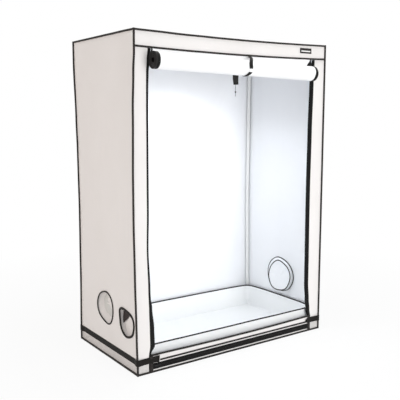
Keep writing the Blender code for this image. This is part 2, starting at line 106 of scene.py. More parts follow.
def edit(piece, *steps):
    """Runs edit mode steps on a piece: each picks edges or faces by a test, then works on them."""
    only(piece)
    for mode, test, work in steps:
        bpy.ops.object.mode_set(mode="EDIT")
        bpy.ops.mesh.select_mode(type=mode)
        bpy.ops.mesh.select_all(action="DESELECT")
        bpy.ops.object.mode_set(mode="OBJECT")
        mesh = piece.data
        if mode == "EDGE":
            for e in mesh.edges:
                a, b = (mesh.vertices[i].co for i in e.vertices)
                e.select = test(a, b)
        else:
            for f in mesh.polygons:
                f.select = test(f.center, f.normal)
        bpy.ops.object.mode_set(mode="EDIT")
        work()
    bpy.ops.object.mode_set(mode="OBJECT")


def every_face(centre, normal):
    """The test that picks all of a piece's faces."""
    return True


def name_piece(name):
    piece = bpy.context.object
    piece.name = name
    piece.data.name = name
    return piece


def smooth(piece, degrees=40):
    only(piece)
    bpy.ops.object.shade_smooth_by_angle(angle=radians(degrees))


def join(name, pieces):
    only(pieces[0])
    for piece in pieces[1:]:
        piece.select_set(True)
    bpy.ops.object.join()
    return name_piece(name)


def dress(piece, material, body="tent", replaces=()):
    """Gives a finished piece its material, hides the imported pieces that it replaces, and gives it the
    body that it rides on.
    """
    if material:
        piece.data.materials.clear()
        piece.data.materials.append(material)
    if replaces:
        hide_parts(*replaces)
    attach(piece, body)
    return piece


def sheet_grid(name, size, columns, rows, place):
    """A flat sheet of its real size, each point moved to where place(along, up) puts it."""
    deselect()
    bpy.ops.mesh.primitive_grid_add(x_subdivisions=columns, y_subdivisions=rows, size=1)
    piece = name_piece(name)
    wide, long = size
    for v in piece.data.vertices:
        v.co = place((v.co.x + 0.5) * wide, (v.co.y + 0.5) * long)
    for point in piece.data.uv_layers.active.data:
        point.uv = (point.uv.x * wide, point.uv.y * long)
    return piece


def thicken(piece, thickness, offset=-1.0, inner_slot=0):
    modify(piece, "SOLIDIFY", thickness=thickness, offset=offset, use_even_offset=True,
           material_offset=inner_slot, material_offset_rim=0)


def strip(name, size, columns, rows, place, thickness, angle=50):
    """A woven tape, strap or other length that is moved into place and thickened about its middle."""
    piece = sheet_grid(name, size, columns, rows, place)
    thicken(piece, thickness, offset=0.0)
    smooth(piece, angle)
    return piece


def share_between(value, low, high):
    return min(1.0, max(0.0, (value - low) / (high - low)))


def ease(share):
    return share * share * (3 - 2 * share)


def eased(rows, at):
    """The numbers of a short table at a height or distance, eased from row to row."""
    if at <= rows[0][0]:
        return rows[0][1:]
    for low, high in zip(rows, rows[1:]):
        if at <= high[0]:
            share = ease(share_between(at, low[0], high[0]))
            return tuple(a + (b - a) * share for a, b in zip(low[1:], high[1:]))
    return rows[-1][1:]


# Materials

weave_turn = 0.314159            # a Wave texture of scale 1 repeats at this distance
weave_deep = 0.0006              # depth of the weave and the grain of a coating
rib_deep = 0.0005
tape_roughness = 0.8


def linear(code):
    """A linear colour from an sRGB hex value."""
    parts = [int(code[i:i + 2], 16) / 255 for i in (1, 3, 5)]
    return tuple(c / 12.92 if c <= 0.04045 else ((c + 0.055) / 1.055) ** 2.4 for c in parts) + (1.0,)


def add(tree, kind, links=None, **settings):
    """Adds a node, sets its attributes, and fills or links its sockets."""
    made = tree.nodes.new(kind)
    for name, value in settings.items():
        setattr(made, name, value)
    for name, value in (links or {}).items():
        socket = made.inputs[name]
        if isinstance(value, bpy.types.NodeSocket):
            tree.links.new(value, socket)
        else:
            socket.default_value = value
    return made


def new_material(name, roughness, sockets):
    made = bpy.data.materials.new(name)
    made.use_nodes = True
    shader = made.node_tree.nodes["Principled BSDF"]
    shader.inputs["Roughness"].default_value = roughness
    for key, value in sockets.items():
        shader.inputs[key.replace("_", " ")].default_value = value
    return made, made.node_tree, shader


def two_tones(tree, shader, share, dark, light):
    """Colours the surface between two tones by a share."""
    tint = add(tree, "ShaderNodeMix", {0: share, 6: linear(dark), 7: linear(light)}, data_type="RGBA")
    tree.links.new(tint.outputs[2], shader.inputs["Base Color"])


def raise_skin(tree, shader, height, strength, distance):
    """Raises the surface by a height pattern, whose full depth is a distance in metres."""
    bump = add(tree, "ShaderNodeBump", {"Height": height, "Strength": strength, "Distance": distance})
    tree.links.new(bump.outputs["Normal"], shader.inputs["Normal"])


def coated_cloth(name, light, dark, thread, roughness, turn=0.0, relief=0.12, **sockets):
    """Woven polyester with a satin plastic coating: the plain weave shows faintly through the coating,
    the tone drifts a little at random from place to place, and it has a soft sheen.
    The real threads are 0.5 mm apart and would not show; the weave is drawn 4 to 8 times as coarse."""
    made, tree, shader = new_material(name, roughness, sockets)
    place = add(tree, "ShaderNodeTexCoord")
    turned = add(tree, "ShaderNodeMapping", {"Vector": place.outputs["UV"], "Rotation": (0, 0, turn)})
    across, along = (add(tree, "ShaderNodeTexWave", {"Vector": turned.outputs["Vector"], "Distortion": 0.3,
                                                     "Scale": weave_turn / thread}, bands_direction=way)
                     for way in "XY")
    weave = add(tree, "ShaderNodeMath", {0: across.outputs["Fac"], 1: along.outputs["Fac"]},
                operation="MULTIPLY")
    patches = add(tree, "ShaderNodeTexNoise", {"Vector": place.outputs["Object"], "Scale": 2.6,
                                               "Detail": 4.0})
    drift = add(tree, "ShaderNodeMath", {0: weave.outputs[0], 1: 0.35, 2: patches.outputs["Fac"]},
                operation="MULTIPLY_ADD")
    two_tones(tree, shader, drift.outputs[0], dark, light)
    grain = add(tree, "ShaderNodeTexNoise", {"Vector": place.outputs["Object"], "Scale": 38.0,
                                             "Detail": 3.0})
    height = add(tree, "ShaderNodeMath", {0: weave.outputs[0], 1: 0.6, 2: grain.outputs["Fac"]},
                 operation="MULTIPLY_ADD")
    raise_skin(tree, shader, height.outputs[0], relief, weave_deep)
    return made


def woven_tape(name, code, worn_code, rib, direction, coordinates="Object"):
    """Woven polypropylene or polyester tape: ribs across its width, dull, with a faint sheen, and a
    greyer tone on the tops of the ribs where they have rubbed."""
    made, tree, shader = new_material(name, tape_roughness, {"Sheen_Weight": 0.04,
                                                             "Specular_IOR_Level": 0.2})
    place = add(tree, "ShaderNodeTexCoord")
    ribs = add(tree, "ShaderNodeTexWave", {"Vector": place.outputs[coordinates], "Scale": weave_turn / rib,
                                           "Distortion": 0.4, "Detail": 1.0}, bands_direction=direction)
    worn = add(tree, "ShaderNodeTexNoise", {"Vector": place.outputs["Object"], "Scale": 30.0})
    share = add(tree, "ShaderNodeMath", {0: ribs.outputs["Fac"], 1: worn.outputs["Fac"]},
                operation="MULTIPLY")
    two_tones(tree, shader, share.outputs[0], code, worn_code)
    raise_skin(tree, shader, ribs.outputs["Fac"], 0.5, rib_deep)
    return made


def mottled(name, code, other, scale, roughness, bump_size=0.0, **sockets):
    """A plain finish with a fine uneven tint and skin, as paint, moulded plastic and cast metal have."""
    made, tree, shader = new_material(name, roughness, sockets)
    place = add(tree, "ShaderNodeTexCoord")
    spots = add(tree, "ShaderNodeTexNoise", {"Vector": place.outputs["Object"], "Scale": scale,
                                             "Detail": 3.0})
    two_tones(tree, shader, spots.outputs["Fac"], code, other)
    if bump_size:
        raise_skin(tree, shader, spots.outputs["Fac"], 0.4, bump_size)
    return made


# Outside of the cover: off-white coated oxford cloth, satin, a touch warm and grey
outer_cloth = coated_cloth("coated_polyester_outside", "#EDEAE8", "#E3DFDC", 0.0022, 0.55,
                           Sheen_Weight=0.05)
# Lowest strip and underside of the cover: thicker, greyer coated cloth with a coarse slanting weave
tub_cloth = coated_cloth("coated_polyester_tub", "#D9D6D4", "#C6C2BF", 0.0040, 0.60, turn=0.6, relief=0.3)
# Inside of the cover: bright white film, smoother than the outside, very slightly blue
lining = coated_cloth("white_reflective_lining", "#FAFBFD", "#F4F6FA", 0.0022, 0.40, relief=0.08)
# Rolled door: the same cloth as the cover with its white side out
door_white = coated_cloth("white_door_cloth", "#FAFAFA", "#F4F4F5", 0.0022, 0.45, relief=0.1)
# Flat of the left rear duct sleeve: the cover's cloth painted greyer, as painted shade in the hollow of the
# port
shaded_sleeve_cloth = coated_cloth("coated_polyester_sleeve_painted_shade", "#D8D8D5", "#CFCFCB", 0.0022, 0.55,
                            Sheen_Weight=0.05)
# Floor tray: soft white laminated cloth
tray_white = coated_cloth("white_tray_cloth", "#F7F8F8", "#F0F2F3", 0.0026, 0.45, relief=0.1)
# Folded polyester tape over every sewn edge: black, fine ribs across
binding_x = woven_tape("binding_tape_ribbed_x", "#242120", "#45413E", 0.0016, "X")
binding_y = woven_tape("binding_tape_ribbed_y", "#242120", "#45413E", 0.0016, "Y")
binding_z = woven_tape("binding_tape_ribbed_z", "#242120", "#45413E", 0.0016, "Z")
binding_loop = woven_tape("binding_tape_round_edge", "#1E1B1A", "#37332F", 0.0060, "X", "UV")
# Polypropylene webbing: black, dull, coarse ribs across
webbing = woven_tape("polypropylene_webbing", "#100E0C", "#23201D", 0.0018, "X", "UV")
upright_webbing = woven_tape("polypropylene_webbing_upright", "#100E0C", "#23201D", 0.0018, "Y", "UV")
# Bunched hem tape in the left front port: thinner polyester, a brownish dark grey. Its narrow tail down a
# fold is painted shade of that fold, laid as more of the dark tape
hem_tape_and_fold_shade = woven_tape("bunched_hem_tape_and_fold_shade", "#332D2B", "#4A4341", 0.0018, "X", "UV")
# Knitted zip tape: black polyester, fine ribs along
zip_cloth = woven_tape("knitted_zip_tape", "#0C0B0B", "#1A1918", 0.0012, "Y", "UV")
# Zip coil: black nylon, a little shiny
zip_coil = mottled("nylon_zip_coil", "#0E0D0D", "#1A1918", 300.0, 0.45, Specular_IOR_Level=0.3)
# Zip slider and pull: cast zinc under black lacquer
zip_zinc = mottled("lacquered_zinc_slider", "#1B1B1C", "#2C2C2E", 220.0, 0.34, 0.0001, Metallic=0.5)
# Frame tubes: steel with a smooth white powder coat
powder_coat = mottled("white_powder_coated_steel", "#F2F3F2", "#ECEDEC", 420.0, 0.36, 0.00006)
# Corner pieces: moulded white nylon, a finely grained skin
moulded_nylon = mottled("white_moulded_nylon", "#F0F0EE", "#E9E9E6", 160.0, 0.48, 0.0001)
# Bare label: woven satin, pale grey
label_cloth = mottled("bare_woven_label", "#F0F0EE", "#DEDEDC", 500.0, 0.6, 0.0001)
# White band across the tie strap, where it passes low on the front of the roll: short white pile
white_pile = mottled("white_strap_band_pile", "#FAFAFA", "#EFEFEF", 900.0, 0.9, 0.0004)
# Cord under the hanger: braided black polyester
cord_black = mottled("black_braided_cord", "#232120", "#3A3735", 600.0, 0.75, 0.0002)

# How the tent stands out of true: height, then how far a corner of the cover leans along x and y
front_left_lean = ((0.03, 0.002, 0.0015), (0.20, -0.001, 0.005), (0.64, -0.006, 0.009),
                   (0.90, -0.008, 0.011), (1.11, -0.008, 0.011), (1.55, -0.0045, 0.008),
                   (1.77, 0.0, 0.004), (1.88, 0.004, 0.0), (2.0, 0.004, 0.0))
front_right_lean = ((0.03, 0.0, 0.001), (0.20, 0.003, 0.003), (1.55, 0.004, 0.003), (1.75, 0.001, 0.0))
back_left_lean = ((0.03, 0.002, -0.002), (0.50, 0.006, -0.006), (0.90, 0.008, -0.008),
                  (1.30, 0.006, -0.006), (1.50, 0.003, -0.003), (1.88, -0.003, 0.003))
back_right_lean = ((0.03, 0.0, 0.0), (0.25, -0.009, 0.005), (0.90, -0.013, 0.008),
                   (1.40, -0.010, 0.006), (1.80, -0.008, 0.005), (1.95, -0.002, 0.001))
top_seam_sag = 0.011
header_seam_sag = 0.0115
header_sag_reach = 0.10          # the cloth below the header seam takes up its sag over this height

# Free edges of the two front panels and the side tapes on them: height, how far the edge stands inwards,
# how far it falls back, and how sharply the tape turns into the doorway, in degrees
left_edge = ((0.10, -0.0012, 0.0, 90), (0.17, 0.007, -0.003, 4), (0.27, 0.006, -0.002, 12),
             (0.39, 0.003, -0.001, 45), (0.51, 0.0, 0.0, 100), (0.75, -0.002, 0.009, 95),
             (0.98, -0.001, 0.004, 90), (1.55, -0.001, 0.001, 88), (1.66, 0.0, 0.001, 84),
             (1.76, 0.001, 0.0, 60), (1.83, 0.0055, 0.0, 50), (1.90, 0.013, 0.0, 50))
right_edge = ((0.10, -0.0012, 0.0, 90), (0.155, 0.003, 0.005, 50), (0.23, 0.005, 0.011, 45),
              (0.34, 0.008, 0.017, 45), (1.01, 0.009, 0.0195, 45), (1.42, 0.008, 0.0165, 45),
              (1.73, 0.006, 0.012, 50), (1.80, 0.008, 0.010, 75), (1.85, 0.0095, 0.004, 110))


def lean(rows, z):
    """How far a corner of the cover leans at a height."""
    return Vector((*eased(rows, z), 0.0))


def sag(x, y, z):
    """How far the top and header seams hang down between the front posts."""
    near_front = share_between(-y, 0, half_depth)
    header = share_between(z, header_low - header_sag_reach, header_low)
    top = share_between(z, header_high, tent_height)
    drop = header_seam_sag * header + (top_seam_sag - header_seam_sag) * top
    return drop * near_front * (1 - (x / half_width) ** 2)


def out_of_true(point):
    """How far the sewn cover stands from its nominal place at a point."""
    x, y, z = point
    across = share_between(x, -half_width, half_width)
    front = lean(front_left_lean, z).lerp(lean(front_right_lean, z), across)
    back = lean(back_left_lean, z).lerp(lean(back_right_lean, z), across)
    moved = front.lerp(back, share_between(y, -half_depth, half_depth))
    moved.z = -sag(x, y, z)
    return moved


def true_to_cover(place):
    """Wraps a place function so that the piece follows the cover as it really stands."""
    def placed(a, b):
        point = place(a, b)
        return point + out_of_true(point)
    return placed


# The sewn cover

pucker_length = 0.046            # spacing of the small gathers along a seam
pucker_depth = 0.0011
pucker_reach = 0.035
wave_depth = 0.0026
wave_reach = 0.12                # the long waves die out over this distance from the panel's edge
gather_reach = 0.01              # and the gathers over this one
flat_below, free_above = 0.105, 0.22   # a wall lies flat under the first height, free over the second
front_wave_depth = 0.0016
front_free_from, front_free_to = 0.08, 0.20
fold = 0.0022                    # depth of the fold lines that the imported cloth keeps
header_lap = 0.004               # the header's cloth runs on behind its lower seam
band_lap = 0.004                 # the tub's cloth ends behind the band, this far up
bar_end_clear = 0.0015           # the roof lies on its bars, to this far past their ends
left_port_area, right_port_area = 0.055, 0.057

# Fold lines on each wall: from, to (along the panel and up), depth, width
left_wall_folds = (((0.352, 1.62), (0.366, 0.70), fold, 0.016), ((0.08, 1.88), (0.285, 1.66), -fold, 0.012),
                   ((0.56, 1.30), (0.60, 0.55), -0.0016, 0.030))
right_wall_folds = (((0.41, 1.72), (0.385, 0.78), -fold, 0.014), ((0.62, 1.75), (0.60, 1.1), -fold, 0.03))
back_wall_folds = (((0.75, 1.75), (0.75, 0.3), fold, 0.016), ((0.20, 1.80), (0.34, 1.55), -fold, 0.014))


def crease(a, b, start, end, depth, width):
    """A fold line pressed into the cloth between two points of the panel."""
    ax, ay = start
    bx, by = end
    length = hypot(bx - ax, by - ay)
    along = ((a - ax) * (bx - ax) + (b - ay) * (by - ay)) / length ** 2
    if not 0 <= along <= 1:
        return 0.0
    off = ((a - ax) * (by - ay) - (b - ay) * (bx - ax)) / length
    fade = sin(pi * along) ** 0.5
    return depth * fade * exp(-(off / width) ** 2)


def relief(a, b, wide, high, seed, creases=()):
    """How far stretched cloth stands off its flat place: long waves, gathers at seams, fold lines."""
    edge = min(a, wide - a, b, high - b)
    inside = share_between(edge, 0.0, wave_reach)
    waves = noise.noise(Vector((a * 2.6 + seed, b * 1.4, seed)))
    ripples = noise.noise(Vector((a * 9.0, b * 4.0 + seed, seed + 3)))
    gathers = sin(2 * pi * b / pucker_length + 4 * noise.noise(Vector((b * 5, seed, 0))))
    gathers *= exp(-min(a, wide - a) / pucker_reach)
    more = sin(2 * pi * a / pucker_length + 4 * noise.noise(Vector((a * 5, seed, 9))))
    gathers += more * exp(-min(b, high - b) / pucker_reach)
    gathers *= share_between(edge, 0.0, gather_reach)
    total = (wave_depth * waves + 0.25 * wave_depth * ripples) * inside + pucker_depth * gathers * 0.5
    for line in creases:
        total += crease(a, b, *line)
    return total


def panel(name, origin, across, up, size, seed, creases=(), skin=(outer_cloth, lining), cells=None):
    """A panel of cover cloth: a flat cut sheet, stretched between its seams and a little out of flat."""
    wide, high = size
    out = Vector(across).cross(Vector(up))
    columns, rows = cells or (max(2, round(wide / cell)), max(2, round(high / cell)))

    def place(a, b):
        flat = Vector(origin) + Vector(across) * a + Vector(up) * b
        under_band = share_between(flat.z, flat_below, free_above) if abs(up[2]) else 1.0
        return flat + out * relief(a, b, wide, high, seed, creases) * under_band

    return cloth_panel(name, size, columns, rows, true_to_cover(place), skin)


def cloth_panel(name, size, columns, rows, place, skin):
    piece = sheet_grid(name, size, columns, rows, place)
    for made in skin:
        piece.data.materials.append(made)
    thicken(piece, cloth, inner_slot=1)
    smooth(piece, 60)
    return piece


def tub_faces(piece, out, level):
    """The lowest strip of a wall is the floor tub's heavier cloth, sewn on under the band."""
    piece.data.materials.append(tub_cloth)
    last = len(piece.data.materials) - 1
    for f in piece.data.polygons:
        if f.center.z < level and f.normal.dot(Vector(out)) > 0.5:
            f.material_index = last


def hang_on_frame(piece, node, rests):
    """A finished panel of the cover: it stands for its CAD node, which is hidden."""
    dress(piece, None, replaces=[node])
    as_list(rests)


def sewn_round(*points):
    """A closed outline (y, z) that runs smoothly through eight points, from the rear one over the top."""
    count = len(points)

    def at(share):
        number = int(share * count)
        t = share * count - number
        a, b, c, d = (Vector(points[(number + step) % count]) for step in (-1, 0, 1, 2))
        return b + 0.5 * t * (c - a + t * (2 * a - 5 * b + 4 * c - d + t * (3 * (b - c) + d - a)))
    return at


# Duct ports: the sewn outline of each, a little out of round
left_rear_port = sewn_round((0.134, 0.324), (0.091, 0.392), (0.003, 0.4205), (-0.061, 0.395),
                            (-0.087, 0.333), (-0.071, 0.256), (-0.014, 0.217), (0.104, 0.253))
left_front_port = sewn_round((-0.180, 0.330), (-0.188, 0.359), (-0.229, 0.369), (-0.331, 0.349),
                             (-0.360, 0.300), (-0.337, 0.233), (-0.261, 0.2045), (-0.198, 0.242))
right_port = sewn_round((0.137, 0.320), (0.102, 0.405), (0.014, 0.4485), (-0.098, 0.4055),
                        (-0.140, 0.313), (-0.089, 0.222), (0.012, 0.193), (0.106, 0.2207))
right_hem = sewn_round((0.096, 0.306), (0.061, 0.389), (-0.013, 0.434), (-0.108, 0.3935),
                       (-0.1365, 0.3185), (-0.090, 0.229), (0.004, 0.202), (0.069, 0.2254))
port_cutter_turns = 64


def port_holes(piece, outlines, side):
    """Cuts the hole of each duct port out of a side wall."""
    for outline in outlines:
        deselect()
        bpy.ops.mesh.primitive_cylinder_add(vertices=port_cutter_turns, radius=1, depth=0.2,
                                            location=(side * side_out, 0, 0), rotation=(0, pi / 2, 0))
        cutter = bpy.context.object
        settle(cutter)
        for v in cutter.data.vertices:
            v.co.y, v.co.z = outline(atan2(v.co.z, v.co.y) / (2 * pi) % 1.0)
        modify(piece, "BOOLEAN", operation="DIFFERENCE", solver="EXACT", object=cutter)
        bpy.data.objects.remove(cutter)


def edge_of_doorway(side, z):
    """Where the free edge of a front panel stands at a height, and how its tape turns in."""
    return eased(left_edge if side < 0 else right_edge, z)


def front_panel_point(side, share, z, corner_x):
    """A point of a front side panel: share 0 is at the corner seam, share 1 at the free edge."""
    held = lean(front_left_lean if side < 0 else front_right_lean, z)
    inward, back, bend = edge_of_doorway(side, z)
    x = side * (corner_x - (corner_x - doorway_half) * share)
    x += held.x * (1 - share) - side * inward * share
    y = front_out + held.y * (1 - share) + back * share * share
    return Vector((x, y, z - sag(x, y, z)))


def cover_panels():
    edge_x = half_width - panel_inset
    edge_y = half_depth - panel_inset
    wide_x, wide_y, tall = 2 * edge_x, 2 * edge_y, tent_height - 2 * panel_inset
    band_level = band_low.z + band_lap
    up = (0, 0, 1)

    walls = (("left_wall", (-side_out, edge_y, panel_inset), (0, -1, 0), wide_y, 1.0, left_wall_folds,
              (left_rear_port, left_front_port), left_port_area,
              ["upright_front_left", "upright_back_left", "long_rail_top_front"]),
             ("right_wall", (side_out, -edge_y, panel_inset), (0, 1, 0), wide_y, 2.0, right_wall_folds,
              (right_port,), right_port_area, ["upright_front_right", "upright_back_right"]),
             ("back_wall", (edge_x, back_out, panel_inset), (-1, 0, 0), wide_x, 3.0, back_wall_folds,
              (), 0.0, ["upright_back_left", "upright_back_right"]))
    for node, origin, across, wide, seed, folds, outlines, port_area, rests in walls:
        wall = panel(f"{node}_cloth", origin, across, up, (wide, tall), seed, folds)
        out = Vector(across).cross(Vector(up))
        tub_faces(wall, out, band_level)
        port_holes(wall, outlines, out.x)
        hang_on_frame(wall, node, rests)

    roof = panel("roof_cloth", (-edge_x, -edge_y, roof_out), (1, 0, 0), (0, 1, 0), (wide_x, wide_y), 4.0)
    on_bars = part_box("roof_bar_left")[1] + Vector((0, bar_end_clear, gap))
    outside_points = len(roof.data.vertices) // 2
    for v in roof.data.vertices:
        if abs(v.co.y) < on_bars.y:
            v.co.z = max(v.co.z, on_bars.z + (cloth if v.index < outside_points else 0))
    hang_on_frame(roof, "roof_panel", ["long_rail_top_front", "long_rail_top_back"])

    low = panel("floor_cloth", (edge_x, -edge_y, 0), (-1, 0, 0), (0, 1, 0), (wide_x, wide_y), 5.0,
                (), (tub_cloth, lining), cells=(40, 20))
    for v in low.data.vertices:
        v.co.z = max(0.0, min(v.co.z, cloth))
    hang_on_frame(low, "floor_panel", ["long_rail_bottom_front", "long_rail_bottom_back"])

    wide = edge_x - doorway_half
    high = header_low - panel_inset
    for side, hand in ((-1, "left"), (1, "right")):
        def place(a, b, side=side):
            share = a / wide if side < 0 else 1 - a / wide
            point = front_panel_point(side, share, panel_inset + b, edge_x)
            waves = noise.noise(Vector((a * 20, b * 3, side * 5.0)))
            loose = share_between(b, front_free_from, front_free_to)
            point.y += front_wave_depth * waves * 4 * share * (1 - share) * loose
            return point
        piece = cloth_panel(f"front_{hand}_cloth", (wide, high), 10, 200, place, (outer_cloth, lining))
        tub_faces(piece, (0, -1, 0), band_level)
        hang_on_frame(piece, f"front_{hand}_panel", [f"upright_front_{hand}"])

    header_tall = tent_height - panel_inset - header_high + header_lap
    header = panel("front_header_cloth", (-edge_x, front_out, header_high - header_lap), (1, 0, 0), up,
                   (wide_x, header_tall), 8.0, cells=(150, 10))
    hang_on_frame(header, "front_header", ["long_rail_top_front"])


# Black binding over the sewn edges

bar_round = 0.0032
thin_bar_share = 0.4             # a thin bar is rounded by this share of its thickness
bar_wander = 0.0009
joint_lap_share = 0.6            # the long and short seams run this share of their width into the uprights


def binding_bar(name, low, high, axis, cuts, material, leaning=True):
    """A sewn edge in its folded tape: a long block with rounded edges that follows the cover."""
    low, high = Vector(low), Vector(high)
    deselect()
    bpy.ops.mesh.primitive_cube_add(size=1, location=(low + high) / 2, scale=high - low)
    bar = name_piece(name)
    settle(bar)

    def along(a, b):
        return abs((a - b)[axis]) > 0.5 * (high - low)[axis]

    edit(bar,
         ("EDGE", along, lambda: bpy.ops.mesh.bevel(offset=min(bar_round, thin_bar_share * min(high - low)),
                                                    segments=3, affect="EDGES")),
         ("EDGE", along, lambda: bpy.ops.mesh.subdivide(number_cuts=cuts)))
    phase = sum(low) * 7
    for v in bar.data.vertices:
        wander = noise.noise(Vector((v.co[axis] * 6, phase, 0))) * bar_wander
        v.co += Vector((wander, wander * 0.5, 0)) if axis == 2 else Vector((0, 0, wander))
        if leaning:
            v.co += out_of_true(v.co)
    bar.data.materials.append(material)
    smooth(bar)
    return bar


def seam_bars():
    """The folded tape over every outer seam of the box, and the line under the header."""
    made = []
    w, d, h = half_width, half_depth, tent_height
    into = seam * joint_lap_share
    for x in (-w, w - seam):
        for y in (-d, d - seam):
            made.append(binding_bar("upright_seam", (x, y, 0), (x + seam, y + seam, h), 2, 80, binding_z))
    for y in (-d, d - seam):
        for z in (0, h - seam):
            made.append(binding_bar("long_seam", (-w + into, y, z), (w - into, y + seam, z + seam),
                                    0, 60, binding_x))
    for x in (-w, w - seam):
        for z in (0, h - seam):
            made.append(binding_bar("short_seam", (x, -d + into, z), (x + seam, d - into, z + seam),
                                    1, 40, binding_y))
    made.append(binding_bar("header_seam", (-w + into, -d, header_low + gap),
                            (w - into, -d + seam, header_high - gap), 0, 60, binding_x))
    whole = join("seam_binding_tape", made)
    for v in whole.data.vertices:
        v.co.z = max(v.co.z, 0.0)
    dress(whole, None, replaces=["seam_binding"])


# Sill, with its bound edge and the flap over the bottom zip

sill_height = 0.1015
sill_sag = 0.0065
sag_half = 0.60                  # the sill's edge lies level beyond this distance from the middle
sill_swell = 0.0012
sill_binding_tall = 0.0125
binding_front, binding_back = 0.003, 0.004   # how far the bound edge stands before and behind the sill
flap_low, flap_high = 0.0634, 0.0746
flap_start = -0.588
flap_end_short = 0.004
flap_front, flap_back = 0.0032, 0.0002
sill_swell_from = 0.02           # the cloth swells fully from this far above its lower seam
sill_end_tape = (0.6385, 0.6600)     # the side zips' tape runs on down to the bottom seam beside the sill
sill_end_tape_low = 0.0105
sill_end_tape_front, sill_end_tape_back = 0.0042, 0.0004


def sill_top(x):
    """Height of the sill's bound edge: it sags between the side zips, and lies level beside them."""
    share = min(abs(x) / sag_half, 1.0)
    return sill_height - sill_sag * (1 - ease(share) * share)


def sill():
    low = panel_inset

    def place(a, b):
        x = a - sill_end
        z = low + (sill_top(x) - low) * b / sill_height
        swell = sill_swell * abs(noise.noise(Vector((x * 7, b * 20, 2))))
        swell *= share_between(b, 0.0, sill_swell_from)
        return Vector((x, front_out + swell, z))

    size = (2 * sill_end, sill_height)
    piece = cloth_panel("front_sill_cloth", size, 120, 10, place, (outer_cloth, lining))
    edge = binding_bar("sill_binding_tape", (-sill_end, front_out - binding_front, 0),
                       (sill_end, front_out + binding_back, sill_binding_tall), 0, 100, binding_x,
                       leaning=False)
    for v in edge.data.vertices:
        v.co.z += sill_top(v.co.x)
    dress(edge, None, replaces=["sill_binding"])
    flap = binding_bar("zip_flap_edge", (flap_start, front_out - flap_front, flap_low),
                       (sill_end - flap_end_short, front_out - flap_back, flap_high), 0, 60, binding_x,
                       leaning=False)
    dress(flap, None)
    for side, hand in ((-1, "left"), (1, "right")):
        near, far = sorted((side * sill_end_tape[0], side * sill_end_tape[1]))
        tape = binding_bar(f"sill_end_tape_{hand}",
                           (near, front_out - sill_end_tape_front, sill_end_tape_low),
                           (far, front_out - sill_end_tape_back, sill_height), 2, 12, binding_z,
                           leaning=False)
        dress(tape, None)
    dress(piece, None, replaces=["front_sill"])


# Zip tapes and their coils

tape_front = 0.0145              # width sewn flat beside the doorway, before the tape turns inwards
tape_leg = 0.016
tape_wide = tape_front + tape_leg
tape_thick = 0.0011
tape_steps = 12
bend_reach = 0.004               # the turn is spread this far to each side of the fold
bottom_tape_low = 0.0188
bottom_tape_high = 0.0558
bottom_tape_front = 0.0016       # the bottom tape, and its coil, stand this far before the cover
bottom_tape_short = 0.0012
bottom_ripple = 0.0008
bottom_coil_front = 0.0029
bottom_coil_z = 0.0405
bottom_coil_start = 0.003
coil_pitch = 0.0022
coil_start, coil_short = 0.004, 0.006
coil_inset = 0.0012              # the coil's middle lies this far in from the tape's free edge
tooth_wide, tooth_deep, tooth_tall = 0.0048, 0.0024, 0.0015
tooth_round = 0.0004


def tape_section(side, z):
    """Points across a side tape at height z: from the panel's edge, round the fold, to the coil."""
    edge = front_panel_point(side, 1.0, z, half_width - panel_inset)
    inward, back, bend = edge_of_doorway(side, z)
    tilt = atan2(2 * back, half_width - doorway_half - seam)
    step = tape_wide / tape_steps
    x, y = edge.x, edge.y
    points = []
    for i in range(tape_steps + 1):
        turned = ease(share_between(i * step, tape_front - bend_reach, tape_front + bend_reach))
        heading = tilt + radians(bend) * turned
        points.append((Vector((x, y, edge.z)), heading))
        x -= side * step * cos(heading)
        y += step * sin(heading)
    return points


def coil(name, length, place_tooth):
    """A zip coil: one rounded tooth, repeated, each turned to the line that place_tooth gives."""
    deselect()
    bpy.ops.mesh.primitive_cube_add(size=1, scale=(tooth_wide, tooth_deep, tooth_tall))
    row = name_piece(name)
    settle(row)
    edit(row, ("EDGE", lambda a, b: True,
               lambda: bpy.ops.mesh.bevel(offset=tooth_round, segments=1, affect="EDGES")))
    modify(row, "ARRAY", count=int(length / coil_pitch), use_relative_offset=False,
           use_constant_offset=True, constant_offset_displace=(0, 0, coil_pitch))
    frames = {}
    for v in row.data.vertices:
        number = round(v.co.z / coil_pitch)
        if number not in frames:
            frames[number] = place_tooth(number * coil_pitch)
        place, across, out, along = frames[number]
        v.co = place + across * v.co.x + out * v.co.y + along * (v.co.z - number * coil_pitch)
    dress(row, zip_coil)


def zip_tape(name, size, columns, rows, place, node):
    """The fixed half of a zip: its knitted tape, sewn flat on the cover or turned into the doorway."""
    tape = sheet_grid(name, size, columns, rows, place)
    thicken(tape, tape_thick)
    smooth(tape, 50)
    dress(tape, zip_cloth, replaces=[node])


def side_zip(side):
    low, high = side_tape_low, header_low - gap
    sections = {}

    def section(z):
        key = round(z, 5)
        if key not in sections:
            sections[key] = tape_section(side, z)
        return sections[key]

    def place(a, b):
        number = round(a / tape_wide * tape_steps)
        return section(low + b)[number if side < 0 else tape_steps - number][0]

    def place_tooth(along):
        place, heading = section(low + coil_start + along)[tape_steps]
        across = Vector((-side * cos(heading), sin(heading), 0))
        out = Vector((-across.y, across.x, 0))
        return place - across * coil_inset, across, out, Vector((0, 0, 1))

    hand = "left" if side < 0 else "right"
    zip_tape(f"side_zip_tape_{hand}", (tape_wide, high - low), tape_steps, 200, place, f"zip_tape_{hand}")
    coil(f"side_zip_coil_{hand}", high - low - coil_short, place_tooth)


